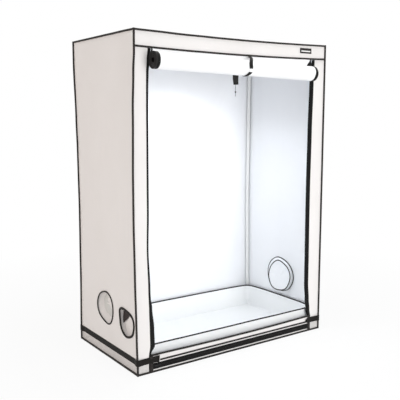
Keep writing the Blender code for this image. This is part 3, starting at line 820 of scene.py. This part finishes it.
def bottom_zip():
    half = sill_end - bottom_tape_short

    def place(a, b):
        x = a - half
        ripple = bottom_ripple * sin(x * 60) * noise.noise(Vector((x * 4, 1, 7)))
        return Vector((x, front_out - bottom_tape_front, bottom_tape_low + b + ripple))

    def place_tooth(along):
        return (Vector((-half + bottom_coil_start + along, front_out - bottom_coil_front, bottom_coil_z)),
                Vector((0, 0, 1)), Vector((0, -1, 0)), Vector((1, 0, 0)))

    zip_tape("bottom_zip_tape", (2 * half, bottom_tape_high - bottom_tape_low), 160, 3, place,
             "zip_tape_bottom")
    coil("bottom_zip_coil", 2 * half - coil_short, place_tooth)


# Black band round the foot of the cover

band_thick = 0.0015
band_lift = 0.0045               # the band has ridden up this far on the filled-out cover
band_start_x, band_finish_x = 0.616, 0.600   # its loose ends beside the side zips
band_seam_x, band_seam_y = 0.75105, 0.40105  # the middle of the band where it passes over a corner seam,
band_wall_x, band_front_y, band_back_y = 0.74205, 0.3968, 0.39205   # and where it lies on the walls
band_rise_x, band_rise_y = (0.700, 0.735), (0.350, 0.385)   # where it rises from a wall to a seam
band_corner = 0.004              # the band rounds each corner over this distance
band_end_reach = 0.030
band_end_lift, band_end_drop = 0.004, 0.002  # the left end opens upwards, and the right one hangs down
band_end_slant = 0.006
left_end_off, right_end_off = 0.0035, 0.002  # the ends stand off the cover
right_tip_share = 0.35           # share of the width left at the band's pointed right-hand end


def full_band_route():
    """The route in plan, seen from above, from the right-hand loose end round the back to the left one."""
    near_x, far_x = band_rise_x
    near_y, far_y = band_rise_y
    over_seam = [(far_x, band_seam_y), (band_seam_x, band_seam_y), (band_seam_x, far_y),
                 (band_wall_x, near_y)]
    front_right = [(band_start_x, band_front_y), (near_x, band_front_y), *over_seam]
    right = [Vector((x, -y)) for x, y in front_right]
    back_right = [Vector(spot) for spot in [*reversed(over_seam), (near_x, band_back_y)]]
    back_left = [Vector((-p.x, p.y)) for p in reversed(back_right)]
    left = [Vector((-p.x, p.y)) for p in reversed(right[1:])]
    return right + back_right + back_left + left + [Vector((-band_finish_x, -band_front_y))]


def along_route(route, distance):
    """The point of a route at a distance from its start."""
    for start, end in zip(route, route[1:]):
        length = (end - start).length
        if distance <= length or end is route[-1]:
            return start.lerp(end, min(max(distance / length, 0.0), 1.0))
        distance -= length


def girth_band():
    """Webbing sewn round three walls, whose two ends lie loose beside the side zips."""
    route = full_band_route()
    length = sum((b - a).length for a, b in zip(route, route[1:]))
    wide = band_high.z - band_low.z

    def place(a, b):
        near = min(band_corner, a, length - a)
        spots = [along_route(route, a + near * step) for step in (-1, -0.5, 0, 0.5, 1)]
        x = sum(s.x for s in spots) / 5
        y = sum(s.y for s in spots) / 5
        at_right = share_between(band_end_reach - a, 0, band_end_reach)
        at_left = share_between(a - length + band_end_reach, 0, band_end_reach)
        share = b / wide - 0.5
        narrowed = share * (1 - (1 - right_tip_share) * at_right ** 2)
        z = band_low.z + band_lift + wide * (0.5 + narrowed)
        z += band_end_lift * at_left * share - band_end_drop * at_right
        x += band_end_slant * at_left * at_left * (share + 0.5)
        y -= left_end_off * at_left ** 2 + right_end_off * at_right ** 2
        point = Vector((x, y, z))
        return point + out_of_true(point)

    band = strip("girth_band_webbing", (length, wide), ceil(length / band_corner), 6, place, band_thick)
    dress(band, webbing, replaces=["girth_band"])


# Door, rolled up under the header

door_wide, door_length = 1.255, 1.87
door_thick = 0.001
door_tape_thick = 0.0012
door_tape_wide_left, door_tape_wide_right = 0.022, 0.028
door_coil_wide, door_coil_thick = 0.003, 0.0026
door_turns = 9
door_rows = 340
outer_turn, inner_turn = 0.0495, 0.0145
door_sewn = Vector((-0.3945, header_low - gap))
roll_left, roll_right = -0.660, 0.598
roll_axis_y, roll_axis_z = -0.4535, 1.8284   # the roll's middle at its left-hand end
roll_askew_y, roll_askew_z = 0.020, 0.0278   # its right-hand end is this much nearer the doorway and lower
roll_wave = 0.0014
roll_wave_from = 0.6             # the waves grow over this much of the first turn, in radians
tighter = (outer_turn - inner_turn) / (2 * pi * door_turns)

# Edges of the door's white cloth and of its black zip tapes: distance along the door from its seam, then x
left_tape_edge = ((0.0, -0.631), (0.06, -0.655))
left_cloth_edge = ((0.0, -0.622), (0.06, -0.6335))
right_cloth_edge = ((0.0, 0.604), (0.040, 0.5815), (0.070, 0.586), (0.13, 0.568), (0.22, 0.5725),
                    (0.30, 0.581))
right_tape_edge = ((0.0, 0.612), (0.040, 0.6270), (0.070, 0.612), (0.12, roll_right))


def roll_axis(x):
    """The roll hangs a little askew: its right-hand end is lower and nearer the doorway."""
    along = (x - roll_left) / (roll_right - roll_left)
    return Vector((roll_axis_y + roll_askew_y * along, roll_axis_z - roll_askew_z * along))


def door_path(x, distance, radius=outer_turn, stand_off=0.0):
    """Where the door runs in a section across the roll: down behind the roll, under it, and round."""
    axis = roll_axis(x)
    sewn = Vector((door_sewn.x, door_sewn.y - sag(x, -half_depth, header_low)))
    from_axis = sewn - axis
    straight = sqrt(from_axis.length ** 2 - radius ** 2)
    touch = atan2(from_axis.y, from_axis.x) - acos(radius / from_axis.length)
    if distance < straight:
        point = axis + Vector((cos(touch), sin(touch))) * (radius + stand_off)
        return sewn.lerp(point, distance / straight)
    turned = (radius - sqrt(max(radius ** 2 - 2 * tighter * (distance - straight), 0))) / tighter
    angle = touch - turned
    wave = roll_wave * noise.noise(Vector((x * 2.2, 1.4 * cos(angle), 1.4 * sin(angle))))
    wave *= share_between(turned, 0, roll_wave_from)
    reach = radius - tighter * turned + wave + stand_off
    return axis + Vector((cos(angle), sin(angle))) * reach


def door_sheet(name, left_edge_of, right_edge_of, wide, columns, thickness):
    """A length of cloth or tape that winds up with the door, between two edges."""
    def place(a, b):
        left, right = eased(left_edge_of, b)[0], eased(right_edge_of, b)[0]
        x = left + (right - left) * a / wide
        across = door_path(x, b)
        return Vector((x, across.x, across.y))
    return strip(name, (wide, door_length), columns, door_rows, place, thickness)


def shifted(edge, by):
    """A table of an edge, moved along x."""
    return tuple((at, x + by) for at, x in edge)


def door():
    cloth_piece = door_sheet("rolled_door_cloth", shifted(left_cloth_edge, gap),
                             shifted(right_cloth_edge, -gap), door_wide, 48, door_thick)
    dress(cloth_piece, door_white, replaces=["door_roll"])
    for hand, outer, inner, wide in (("left", left_tape_edge, left_cloth_edge, door_tape_wide_left),
                                     ("right", right_cloth_edge, right_tape_edge, door_tape_wide_right)):
        tape = door_sheet(f"door_zip_tape_{hand}", outer, inner, wide, 3, door_tape_thick)
        dress(tape, zip_cloth, replaces=[f"door_tape_{hand}"])
    for hand, outer, inner in (("left", left_tape_edge, shifted(left_tape_edge, door_coil_wide)),
                               ("right", shifted(right_tape_edge, -door_coil_wide), right_tape_edge)):
        line = door_sheet(f"door_zip_coil_{hand}", outer, inner, door_coil_wide, 1, door_coil_thick)
        dress(line, zip_coil)


# Tie strap round the roll

strap_wide = 0.026
strap_thick = 0.0015
strap_radius = outer_turn + 0.0018
strap_middle_x = 0.03
strap_x = ((0.0, 0.074), (0.12, 0.014), (0.16, 0.0145), (0.19, 0.004), (0.25, 0.010))
strap_start = Vector((-0.40105, header_low + 0.0015))
strap_back_y = -0.3893           # where the rear half is sewn to the header seam
strap_front_long, strap_back_long = 0.198, 0.152
strap_drop = 0.002
strap_back_x, strap_back_drift = 0.074, 0.068
sag_at_strap_x = 0.07
patch_low, patch_high = 1.7850, 1.8065


def strap_line(start, distance, front):
    """A section of the tie strap: from its seam to the roll, then round the roll's front or back."""
    axis = roll_axis(strap_middle_x)
    from_axis = start - axis
    straight = sqrt(from_axis.length ** 2 - strap_radius ** 2)
    way = 1 if front else -1
    touch = atan2(from_axis.y, from_axis.x) + way * acos(strap_radius / from_axis.length)
    if distance < straight:
        point = axis + Vector((cos(touch), sin(touch))) * strap_radius
        return start.lerp(point, distance / straight)
    angle = touch + way * (distance - straight) / strap_radius
    return axis + Vector((cos(angle), sin(angle))) * strap_radius


def tie_strap():
    sink = sag(sag_at_strap_x, -half_depth, header_low)
    front_start = strap_start - Vector((0, sink + strap_drop))
    back_start = Vector((strap_back_y, header_low - gap - sink))

    def front_place(a, b):
        line = strap_line(front_start, b, True)
        x = eased(strap_x, b)[0] - strap_wide / 2 + a
        return Vector((x, line.x, line.y))

    def back_place(a, b):
        line = strap_line(back_start, b, False)
        x = strap_back_x - strap_back_drift * b / strap_back_long - strap_wide / 2 + a
        return Vector((x, line.x, line.y))

    front = sheet_grid("tie_strap_webbing", (strap_wide, strap_front_long), 6, 66, front_place)
    front.data.materials.append(upright_webbing)
    front.data.materials.append(white_pile)
    for f in front.data.polygons:
        f.material_index = int(patch_low < f.center.z < patch_high)
    thicken(front, strap_thick, offset=0.0)
    smooth(front, 50)
    dress(front, None, "door_strap", ["tie_strap_front"])
    back = strip("tie_strap_webbing_back", (strap_wide, strap_back_long), 6, 50, back_place, strap_thick)
    dress(back, upright_webbing, replaces=["tie_strap_rear"])


# Bare label on the header

label_low = Vector((0.5135, 0, 1.9347))
label_high = Vector((0.6160, 0, 1.9685))
label_front = 0.0032
label_thick = 0.0026
label_border = 0.0100
label_head = 0.0155              # taller black part at the top, where the real label carries its words
label_hem, label_hem_deep = 0.0006, 0.0005   # the pale middle is set in behind a narrow turned edge
label_round = 0.0002
label_near = 0.001               # two places nearer than this are taken as the same when picking parts


def label():
    face = front_out - label_front
    size = label_high - label_low
    middle = (label_low + label_high) / 2
    deselect()
    bpy.ops.mesh.primitive_cube_add(size=1, location=(middle.x, face + label_thick / 2, middle.z),
                                    scale=(size.x, label_thick, size.z))
    piece = name_piece("bare_label")
    settle(piece)

    def in_window(z):
        return label_low.z + label_border < z < label_high.z - label_head

    def top_of_window(a, b):
        in_front = max(a.y, b.y) < face + label_round
        top = label_high.z - label_border - label_round / 2
        return in_front and min(a.z, b.z) > top and max(a.z, b.z) < label_high.z - label_near

    edit(piece,
         ("FACE", lambda c, n: n.y < -0.5, lambda: bpy.ops.mesh.inset(thickness=label_border)),
         ("EDGE", top_of_window,
          lambda: bpy.ops.transform.translate(value=(0, 0, label_border - label_head))),
         ("FACE", lambda c, n: n.y < -0.5 and abs(c.x - middle.x) < label_near and in_window(c.z),
          lambda: bpy.ops.mesh.inset(thickness=label_hem, depth=-label_hem_deep)),
         ("EDGE", lambda a, b: True,
          lambda: bpy.ops.mesh.bevel(offset=label_round, segments=1, affect="EDGES")))
    piece.data.materials.append(binding_x)
    piece.data.materials.append(label_cloth)
    for f in piece.data.polygons:
        inside = abs(f.center.x - middle.x) < size.x / 2 - label_border and in_window(f.center.z)
        f.material_index = int(inside and f.normal.y < -0.5)
    smooth(piece, 30)
    dress(piece, None, replaces=["header_label"])


# Duct ports: a round bound edge and a cloth sleeve that is pushed in and drawn shut

port_step_share = 0.004          # a ring's direction is taken between points this share of the way apart
port_wander = 0.0006
port_turns = 120
ring_pipe = 0.25                 # thickness of the plain ring before it is bent to its route
ring_outside = 0.0022            # the left ports' rings lie this far outside the wall
ring_inside = 0.0022             # the right one's middle lies this far inside the wall's outer face
right_hem_x = 0.708
sleeve_from = 0.0012             # a sleeve starts this far inside the wall's outer face
sleeve_tube = 0.05               # length of a sleeve's short tube, between its ring and its hem
tube_gather = 0.0010
tuck_share = 0.012               # share of the way round that a deep tuck takes
swell_early, swell_power = 1.15, 0.8         # the folds run out a little before the knot
sleeve_thick = 0.0008
sleeve_skin_lap = 0.002
weld_within = 0.0001

# The bunched hem in the left front port, whose narrow tail down a fold is painted fold shade: share of its
# length, rear edge y, front edge y, height
front_hem_rows = ((0.0, -0.196, -0.274, 0.345), (0.35, -0.189, -0.250, 0.310),
                  (0.62, -0.177, -0.187, 0.266), (0.72, -0.181, -0.190, 0.250),
                  (1.0, -0.190, -0.197, 0.213))
front_hem_x = -0.7240
front_hem_wide, front_hem_long = 0.085, 0.135
front_hem_thick = 0.0012
front_hem_wave = 0.0012


def loop(name, route, wide, deep, turns, material):
    """A closed bound edge: a ring bent along a closed route. The route gives, for a share of the way
    round, a point and the two directions across the edge."""
    deselect()
    bpy.ops.mesh.primitive_torus_add(major_segments=turns, minor_segments=10, major_radius=1,
                                     minor_radius=ring_pipe)
    piece = name_piece(name)
    frames = {}
    for v in piece.data.vertices:
        share = round(atan2(v.co.y, v.co.x) / (2 * pi) % 1.0, 5)
        if share not in frames:
            frames[share] = route(share)
        place, across, over = frames[share]
        out = (hypot(v.co.x, v.co.y) - 1) / ring_pipe
        v.co = place + across * out * wide / 2 + over * v.co.z / ring_pipe * deep / 2
    edit(piece, ("FACE", every_face, lambda: bpy.ops.mesh.normals_make_consistent(inside=False)))
    piece.data.materials.append(material)
    smooth(piece, 60)
    return piece


def port_route(outline, x, side):
    """The route of a port's bound edge: its outline, at a place in x, with the cover's lean."""
    def at(share):
        y, z = outline(share)
        ahead = outline((share + port_step_share) % 1.0)
        behind = outline((share - port_step_share) % 1.0)
        way = Vector((0, ahead[0] - behind[0], ahead[1] - behind[1])).normalized()
        wander = port_wander * noise.noise(Vector((y * 30, z * 30, 3)))
        point = Vector((x + wander, y, z))
        return point + out_of_true(point), Vector((0, way.z, -way.y)), Vector((side, 0, 0))
    return at


def sleeve(port, ring, hem, knot, size, planes, folds, depth, skin, tucks=(), hem_piece=None):
    """A sleeve of cover cloth: from the sewn ring inwards to its hem, then gathered to a knot. The
    planes are the places in x of its ring, its hem and its knot."""
    around, length = size
    ring_x, hem_x, knot_x = planes
    side = copysign(1, hem_x)
    tube_share = sleeve_tube / length

    def place(a, b):
        share = (1 - a / around) % 1.0
        down = b / length
        outer, inner = ring(share), hem(share)
        gathers = sin(2 * pi * share * folds + 2 * sin(2 * pi * share * 3))
        if down < tube_share:
            part = down / tube_share
            y = outer[0] + (inner[0] - outer[0]) * part
            z = outer[1] + (inner[1] - outer[1]) * part
            x = ring_x + (hem_x - ring_x) * part
            x += side * tube_gather * gathers * part
            point = Vector((x, y, z))
        else:
            part = (down - tube_share) / (1 - tube_share)
            y = inner[0] + (knot[0] - inner[0]) * part
            z = inner[1] + (knot[1] - inner[1]) * part
            x = hem_x + (knot_x - hem_x) * sin(pi / 2 * part)
            swell = sin(pi * min(part * swell_early, 1.0)) ** swell_power
            fold_out = depth * gathers
            for turn, deep in tucks:
                fold_out += side * deep * exp(-((share - turn) / tuck_share) ** 2)
            point = Vector((x + swell * fold_out, y, z))
        return point + out_of_true(point)

    piece = sheet_grid(f"port_sleeve_cloth_{port}", size, 120, 26, place)
    edit(piece, ("FACE", every_face, lambda: bpy.ops.mesh.remove_doubles(threshold=weld_within)))
    thicken(piece, sleeve_thick, offset=0.0)
    smooth(piece, 60)
    for made in skin:
        piece.data.materials.append(made)
    # Faces past the hem take the skin's last material; for the left rear sleeve that is the cover's cloth
    # painted greyer, as painted shade
    for f in piece.data.polygons:
        f.material_index = min(len(skin) - 1, int(abs(f.center.x) < abs(hem_x) + sleeve_skin_lap))
    dress(piece, None, replaces=[f"port_sleeve_{port}"])


def front_hem():
    """The bound hem of the left front sleeve, bunched to a dark wedge whose narrow tail runs down a fold:
    the tail is painted shade of that fold.
    """
    def place(a, b):
        rear, front, z = eased(front_hem_rows, 1 - b / front_hem_long)
        y = rear + (front - rear) * a / front_hem_wide
        point = Vector((front_hem_x + front_hem_wave * sin(a * 300), y, z))
        return point + out_of_true(point)

    piece = strip("sleeve_hem_and_fold_shade_left_front", (front_hem_wide, front_hem_long), 12, 30, place, front_hem_thick)
    return dress(piece, hem_tape_and_fold_shade)


def smaller(outline, middle, share):
    """An outline drawn in towards a middle point to a share of its size."""
    def at(turn):
        y, z = outline(turn)
        return middle[0] + (y - middle[0]) * share, middle[1] + (z - middle[1]) * share
    return at


def ports():
    left_x = -side_out - ring_outside
    right_x = side_out - ring_inside
    edges = {}
    for name, outline, x, wide, deep, node in (
            ("port_edge_left_rear", left_rear_port, left_x, 0.0100, 0.0070, "port_ring_left_rear"),
            ("port_edge_left_front", left_front_port, left_x, 0.0150, 0.0100, "port_ring_left_front"),
            ("port_edge_right", right_port, right_x, 0.0095, 0.0090, "port_ring_right"),
            ("sleeve_hem_right", right_hem, right_hem_x, 0.0080, 0.0060, "sleeve_rim_right")):
        ring = loop(name, port_route(outline, x, copysign(1, x)), wide, deep, port_turns, binding_loop)
        edges[name] = dress(ring, None, replaces=[node])

    inside = -side_out + sleeve_from
    # The left rear sleeve's first turn keeps the plain cover cloth, and its flat takes the greyer copy:
    # painted shade in the port's hollow
    sleeve("left_rear", left_rear_port, smaller(left_rear_port, (-0.045, 0.378), 0.82),
           knot=(0.000, 0.335), size=(0.64, 0.115), planes=(inside, -0.705, -0.709), folds=5,
           depth=0.0010, skin=(outer_cloth, shaded_sleeve_cloth), tucks=((0.335, -0.016),))
    sleeve("left_front", left_front_port, smaller(left_front_port, (-0.268, 0.285), 0.93),
           knot=(-0.205, 0.285), size=(0.52, 0.095), planes=(inside, -0.716, -0.719), folds=4,
           depth=0.0014, skin=(outer_cloth,), tucks=((0.80, -0.006),), hem_piece=front_hem())
    sleeve("right", right_port, right_hem, knot=(-0.010, 0.300), size=(0.84, 0.14),
           planes=(side_out - cloth - sleeve_from, right_hem_x, 0.713), folds=5, depth=0.0008,
           skin=(lining,), hem_piece=edges["sleeve_hem_right"])


# Floor tray of soft white cloth with a bound rim

tray_rise = 0.0052               # the bound rim pulls the walls up this far above their fold height
tray_wall = tray_high.z - tray_low.z + tray_rise
tray_thick = 0.0012
tray_corner = 0.030
tray_corner_from = 0.4           # a corner has its full roundness from this share of the walls' height
tray_bulge = {"side": 0.020, "back": 0.020, "front": 0.004}
tray_soft, tray_fine = 0.0030, 0.0010        # depth of the wide and the narrow waves in its walls
tray_floor_soft = 0.0012         # and of the wide waves in its floor
rim_wide, rim_tall = 0.0056, 0.0100
rim_lap = 0.001                  # the rim's tape covers this much of the cloth's edge
rim_turns = 420
rim_step_share = 0.002
round_off = 1e-9


def tray_point(u, v):
    """Where a point of the flat cut goes: the middle is the floor, the margins stand up as walls."""
    half_x, half_y = tray_high.x, tray_high.y
    over_x, over_y = max(0.0, abs(u) - half_x), max(0.0, abs(v) - half_y)
    height = max(over_x, over_y)
    corner = tray_corner * ease(min(1.0, height / (tray_corner_from * tray_wall)))
    way_x, way_y = copysign(1, u), copysign(1, v)
    x = abs(u) * (half_x - corner) / half_x
    y = abs(v) * (half_y - corner) / half_y
    if over_x and over_y:
        ratio = over_y / over_x / 2 if over_x >= over_y else 1 - over_x / over_y / 2
        x = half_x - corner + corner * cos(pi / 2 * ratio)
        y = half_y - corner + corner * sin(pi / 2 * ratio)
    elif over_x:
        x = half_x
    elif over_y:
        y = half_y
    rise = height / tray_wall
    if over_x:
        x += tray_bulge["side"] * rise * (1 - min(1.0, (y / half_y)) ** 4)
    if over_y:
        y += tray_bulge["back" if v > 0 else "front"] * rise * (1 - min(1.0, (x / half_x)) ** 6)
    soft = noise.noise(Vector((u * 5, v * 5, 4)))
    fine = noise.noise(Vector((u * 14, v * 14, 8)))
    wrinkle = tray_soft * soft + tray_fine * fine
    if over_x:
        x += wrinkle * rise
    if over_y:
        y += wrinkle * rise
    z = tray_low.z + height + (tray_floor_soft * max(0.0, soft) if not height else 0.0)
    return Vector((way_x * x, way_y * y, z))


def tray():
    half_u, half_v = tray_high.x + tray_wall, tray_high.y + tray_wall
    size = (2 * half_u, 2 * half_v)
    piece = sheet_grid("floor_tray_cloth", size, 150, 88,
                       lambda a, b: tray_point(a - half_u, b - half_v))
    thicken(piece, tray_thick, offset=1.0)
    smooth(piece, 50)
    dress(piece, tray_white, "tray", ["floor_tray"])
    corners = ((half_u, -half_v), (half_u, half_v), (-half_u, half_v), (-half_u, -half_v))

    def flat_edge(share):
        """A place on the edge of the flat cut, for a share of the way round it."""
        distance = share * 4 * (half_u + half_v)
        for i in range(4):
            start, end = corners[i], corners[(i + 1) % 4]
            length = abs(end[0] - start[0]) + abs(end[1] - start[1])
            if distance <= length + round_off:
                part = distance / length
                return start[0] + (end[0] - start[0]) * part, start[1] + (end[1] - start[1]) * part
            distance -= length
        return corners[0]

    def route(share):
        point = tray_point(*flat_edge(share))
        ahead = tray_point(*flat_edge((share + rim_step_share) % 1.0))
        way = ahead - tray_point(*flat_edge((share - rim_step_share) % 1.0))
        out = Vector((way.y, -way.x, 0)).normalized()
        point.z = tray_high.z + tray_rise + rim_tall / 2 - rim_lap
        return point, out, Vector((0, 0, 1))

    rim = loop("floor_tray_rim", route, rim_wide, rim_tall, rim_turns, binding_loop)
    dress(rim, None, "tray", ["tray_binding"])


# Hanger under the roof, with its free cord

hanger_bar_x = 0.250
hanger_y = -0.040
hanger_thick = 0.0014
hanger_apart = 0.0011            # the loop's two lengths hang this far from its middle, at their sewn end
hanger_sewn = 0.05               # the sewn end is this long, and narrower along its rear edge
hanger_narrower = 0.010
hanger_sway = 0.0015
cord_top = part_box("hanger_strap")[0].z - gap
cord_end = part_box("hanger_cord")[0].z
cord_thick = 0.003
cord_points = 14
bead_below = 0.049
bead_round, bead_long = 0.005, 1.4


def hanger():
    """A webbing loop on the right-hand roof bar, and the thin cord with a bead that hangs from it."""
    loop_low, loop_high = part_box("hanger_strap")
    low = loop_low.z
    wide = loop_high.y - loop_low.y
    radius = (loop_high.x - loop_low.x) / 2 - hanger_thick / 2
    bar_z = loop_high.z - hanger_thick / 2 - radius
    drop = bar_z - low
    around = pi * radius
    length = 2 * drop + around

    def place(a, b):
        if b < drop:
            share = b / drop
            x = -(hanger_apart + (radius - hanger_apart) * share ** 6)
            z = low + b
        elif b > drop + around:
            share = (length - b) / drop
            x = hanger_apart + (radius - hanger_apart) * share ** 6
            z = low + length - b
        else:
            angle = pi - (b - drop) / around * pi
            x = radius * cos(angle)
            z = bar_z + radius * sin(angle)
        near_end = share_between(low + hanger_sewn - z, 0, hanger_sewn)
        side = a / wide - 0.5
        y = hanger_y + side * wide + hanger_narrower * near_end * max(0.0, side) * -2
        y += hanger_sway * sin((z - low) * 60)
        return Vector((hanger_bar_x + x, y, z))

    strap = strip("hanger_webbing", (wide, length), 8, 90, place, hanger_thick, angle=60)
    dress(strap, upright_webbing, "hanger", ["hanger_strap"])

    route = [Vector((hanger_bar_x, hanger_y, cord_top + (cord_end - cord_top) * i / cord_points))
             for i in range(cord_points + 1)]
    deselect()
    bpy.ops.curve.primitive_nurbs_path_add()
    cord = name_piece("hanger_cord_line")
    cord.data.splines.remove(cord.data.splines[0])
    spline = cord.data.splines.new("POLY")
    spline.points.add(cord_points)
    for point, at in zip(spline.points, route):
        point.co = (*at, 1)
    cord.location = (0, 0, 0)
    cord.data.dimensions = "3D"
    cord.data.bevel_depth = cord_thick / 2
    cord.data.use_fill_caps = True
    dress(cord, cord_black, "hanger", ["hanger_cord"])

    deselect()
    bpy.ops.mesh.primitive_uv_sphere_add(segments=24, ring_count=16, radius=bead_round,
                                         location=(hanger_bar_x, hanger_y, cord_top - bead_below),
                                         scale=(1, 1, bead_long))
    bead = name_piece("hanger_cord_bead")
    settle(bead)
    smooth(bead)
    dress(bead, zip_coil, "hanger")
    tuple(route[0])


# Posts that bow under the pull of the cover

post_cuts = 60
socket_high = 0.06               # the posts stand straight in the corner pieces
socket_low = 1.93
socket_ease = 0.15               # and bow fully only this far from them
post_wall = 0.0012


def posts():
    """The four upright tubes, straight in their corner pieces and bowed between them."""
    for depth, side, rows in (("front", "left", front_left_lean), ("front", "right", front_right_lean),
                              ("back", "left", back_left_lean), ("back", "right", back_right_lean)):
        node = f"upright_{depth}_{side}"
        low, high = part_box(node)
        deselect()
        bpy.ops.mesh.primitive_cylinder_add(vertices=32, radius=(high.x - low.x) / 2,
                                            depth=high.z - low.z, location=(low + high) / 2,
                                            end_fill_type="NOTHING")
        post = name_piece(f"post_{depth}_{side}")
        settle(post)
        edit(post, ("EDGE", lambda a, b: abs(a.z - b.z) > 1.0,
                    lambda: bpy.ops.mesh.subdivide(number_cuts=post_cuts)))
        for v in post.data.vertices:
            free = ease(share_between(v.co.z, socket_high, socket_high + socket_ease))
            free *= 1 - ease(share_between(v.co.z, socket_low - socket_ease, socket_low))
            v.co += lean(rows, v.co.z) * free
        thicken(post, post_wall)
        smooth(post)
        dress(post, powder_coat, replaces=[node])


# Camera, light and floor

floor_white_near = 0.90          # share of plain white in the floor beside the tent; the rest is shadowed
floor_white_from, floor_white_to = 1.2, 3.2
floor_grey = (0.86, 0.86, 0.86, 1.0)
floor_below = 0.0008             # the floor lies this far under the tent's foot
room_tint = (0.97, 0.985, 1.0, 1.0)
room_strength = 0.50
plain_white = (1.0, 1.0, 1.0, 1.0)

# Lamps: name, place, what it is turned to, size, watts, colour, spread in degrees. The front one lights the
# door side, the left one is warm, the small cool one hangs in the tent, and the top one lights the roof.
lamps = (("front_softbox", (0.3, -5.4, 1.6), (0.1, 0.0, 0.9), 2.6, 126, (1.0, 0.995, 0.995), 180),
         ("left_softbox", (-5.2, 0.4, 1.8), (0.0, 0.0, 0.9), 2.4, 62, (1.0, 0.86, 0.77), 180),
         ("inside_softbox", (-0.05, -0.10, 1.84), (0.0, 0.0, 0.0), 0.50, 5.0, (0.93, 0.965, 1.0), 132),
         ("top_softbox", (0.4, -0.8, 5.4), (0.0, 0.0, 1.0), 3.0, 90, (1.0, 1.0, 1.0), 180))


def seen_or_mirrored(tree):
    """1 for rays from the camera, and for those that metal or glass sends on."""
    path = add(tree, "ShaderNodeLightPath")
    seen = add(tree, "ShaderNodeMath", {0: path.outputs["Is Camera Ray"],
                                        1: path.outputs["Is Glossy Ray"]}, operation="MAXIMUM")
    return add(tree, "ShaderNodeMath", {0: seen.outputs[0], 1: path.outputs["Is Transmission Ray"]},
               operation="MAXIMUM").outputs[0]


def stage():
    scene = bpy.context.scene
    scene.view_settings.view_transform = "Standard"
    back = Vector((sin(camera_azimuth) * cos(camera_elevation),
                   -cos(camera_azimuth) * cos(camera_elevation), sin(camera_elevation)))
    data = bpy.data.cameras.new("photo_camera")
    data.lens = camera_lens
    data.sensor_width = 36
    camera = bpy.data.objects.new("photo_camera", data)
    camera.location = camera_place
    camera.rotation_mode = "QUATERNION"
    camera.rotation_quaternion = (-back).to_track_quat("-Z", "Y")
    scene.collection.objects.link(camera)
    scene.camera = camera

    world = bpy.data.worlds.new("soft_studio")
    scene.world = world
    world.use_nodes = True
    tree = world.node_tree
    tree.nodes.clear()
    room = add(tree, "ShaderNodeBackground", {"Color": room_tint, "Strength": room_strength})
    white = add(tree, "ShaderNodeBackground", {"Color": plain_white, "Strength": 1.0})
    either = add(tree, "ShaderNodeMixShader", {0: seen_or_mirrored(tree), 1: room.outputs[0],
                                               2: white.outputs[0]})
    add(tree, "ShaderNodeOutputWorld", {"Surface": either.outputs[0]})

    deselect()
    bpy.ops.mesh.primitive_plane_add(size=60, location=(0, 0, -floor_below))
    floor = name_piece("studio_floor")
    settle(floor)
    made = bpy.data.materials.new("pale_studio_floor")
    made.use_nodes = True
    tree = made.node_tree
    tree.nodes.clear()
    place = add(tree, "ShaderNodeTexCoord")
    away = add(tree, "ShaderNodeVectorMath", {0: place.outputs["Object"]}, operation="LENGTH")
    share = add(tree, "ShaderNodeMapRange", {"Value": away.outputs["Value"], "From Min": floor_white_from,
                                             "From Max": floor_white_to, "To Min": floor_white_near,
                                             "To Max": 1.0})
    part = add(tree, "ShaderNodeMath", {0: seen_or_mirrored(tree), 1: share.outputs[0]},
               operation="MULTIPLY")
    paint = add(tree, "ShaderNodeBsdfDiffuse", {"Color": floor_grey})
    bright = add(tree, "ShaderNodeEmission", {"Color": plain_white, "Strength": 1.0})
    either = add(tree, "ShaderNodeMixShader", {0: part.outputs[0], 1: paint.outputs[0],
                                               2: bright.outputs[0]})
    add(tree, "ShaderNodeOutputMaterial", {"Surface": either.outputs[0]})
    floor.data.materials.append(made)

    for row in lamps:
        lamp(*row)


def lamp(name, place, target, size, watts, colour, spread):
    data = bpy.data.lights.new(name, "AREA")
    data.shape = "DISK"
    data.size = size
    data.energy = watts
    data.spread = radians(spread)
    data.color = colour
    made = bpy.data.objects.new(name, data)
    made.location = place
    made.rotation_mode = "QUATERNION"
    made.rotation_quaternion = (Vector(target) - Vector(place)).to_track_quat("-Z", "Y")
    made.visible_camera = False
    bpy.context.scene.collection.objects.link(made)


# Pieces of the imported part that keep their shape

kept_finish = {"corner_": moulded_nylon, "long_rail": powder_coat, "short_rail": powder_coat,
               "roof_bar": powder_coat, "zip_slider": zip_zinc, "zip_pull": zip_zinc}


def keep_frame():
    """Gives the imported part's own pieces their finish."""
    for node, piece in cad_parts.items():
        for start, finish in kept_finish.items():
            if node.startswith(start):
                piece.data.materials.clear()
                piece.data.materials.append(finish)


stage()
hanger()
cover_panels()
seam_bars()
sill()
for side in (-1, 1):
    side_zip(side)
bottom_zip()
girth_band()
door()
tie_strap()
label()
ports()
tray()
posts()
keep_frame()
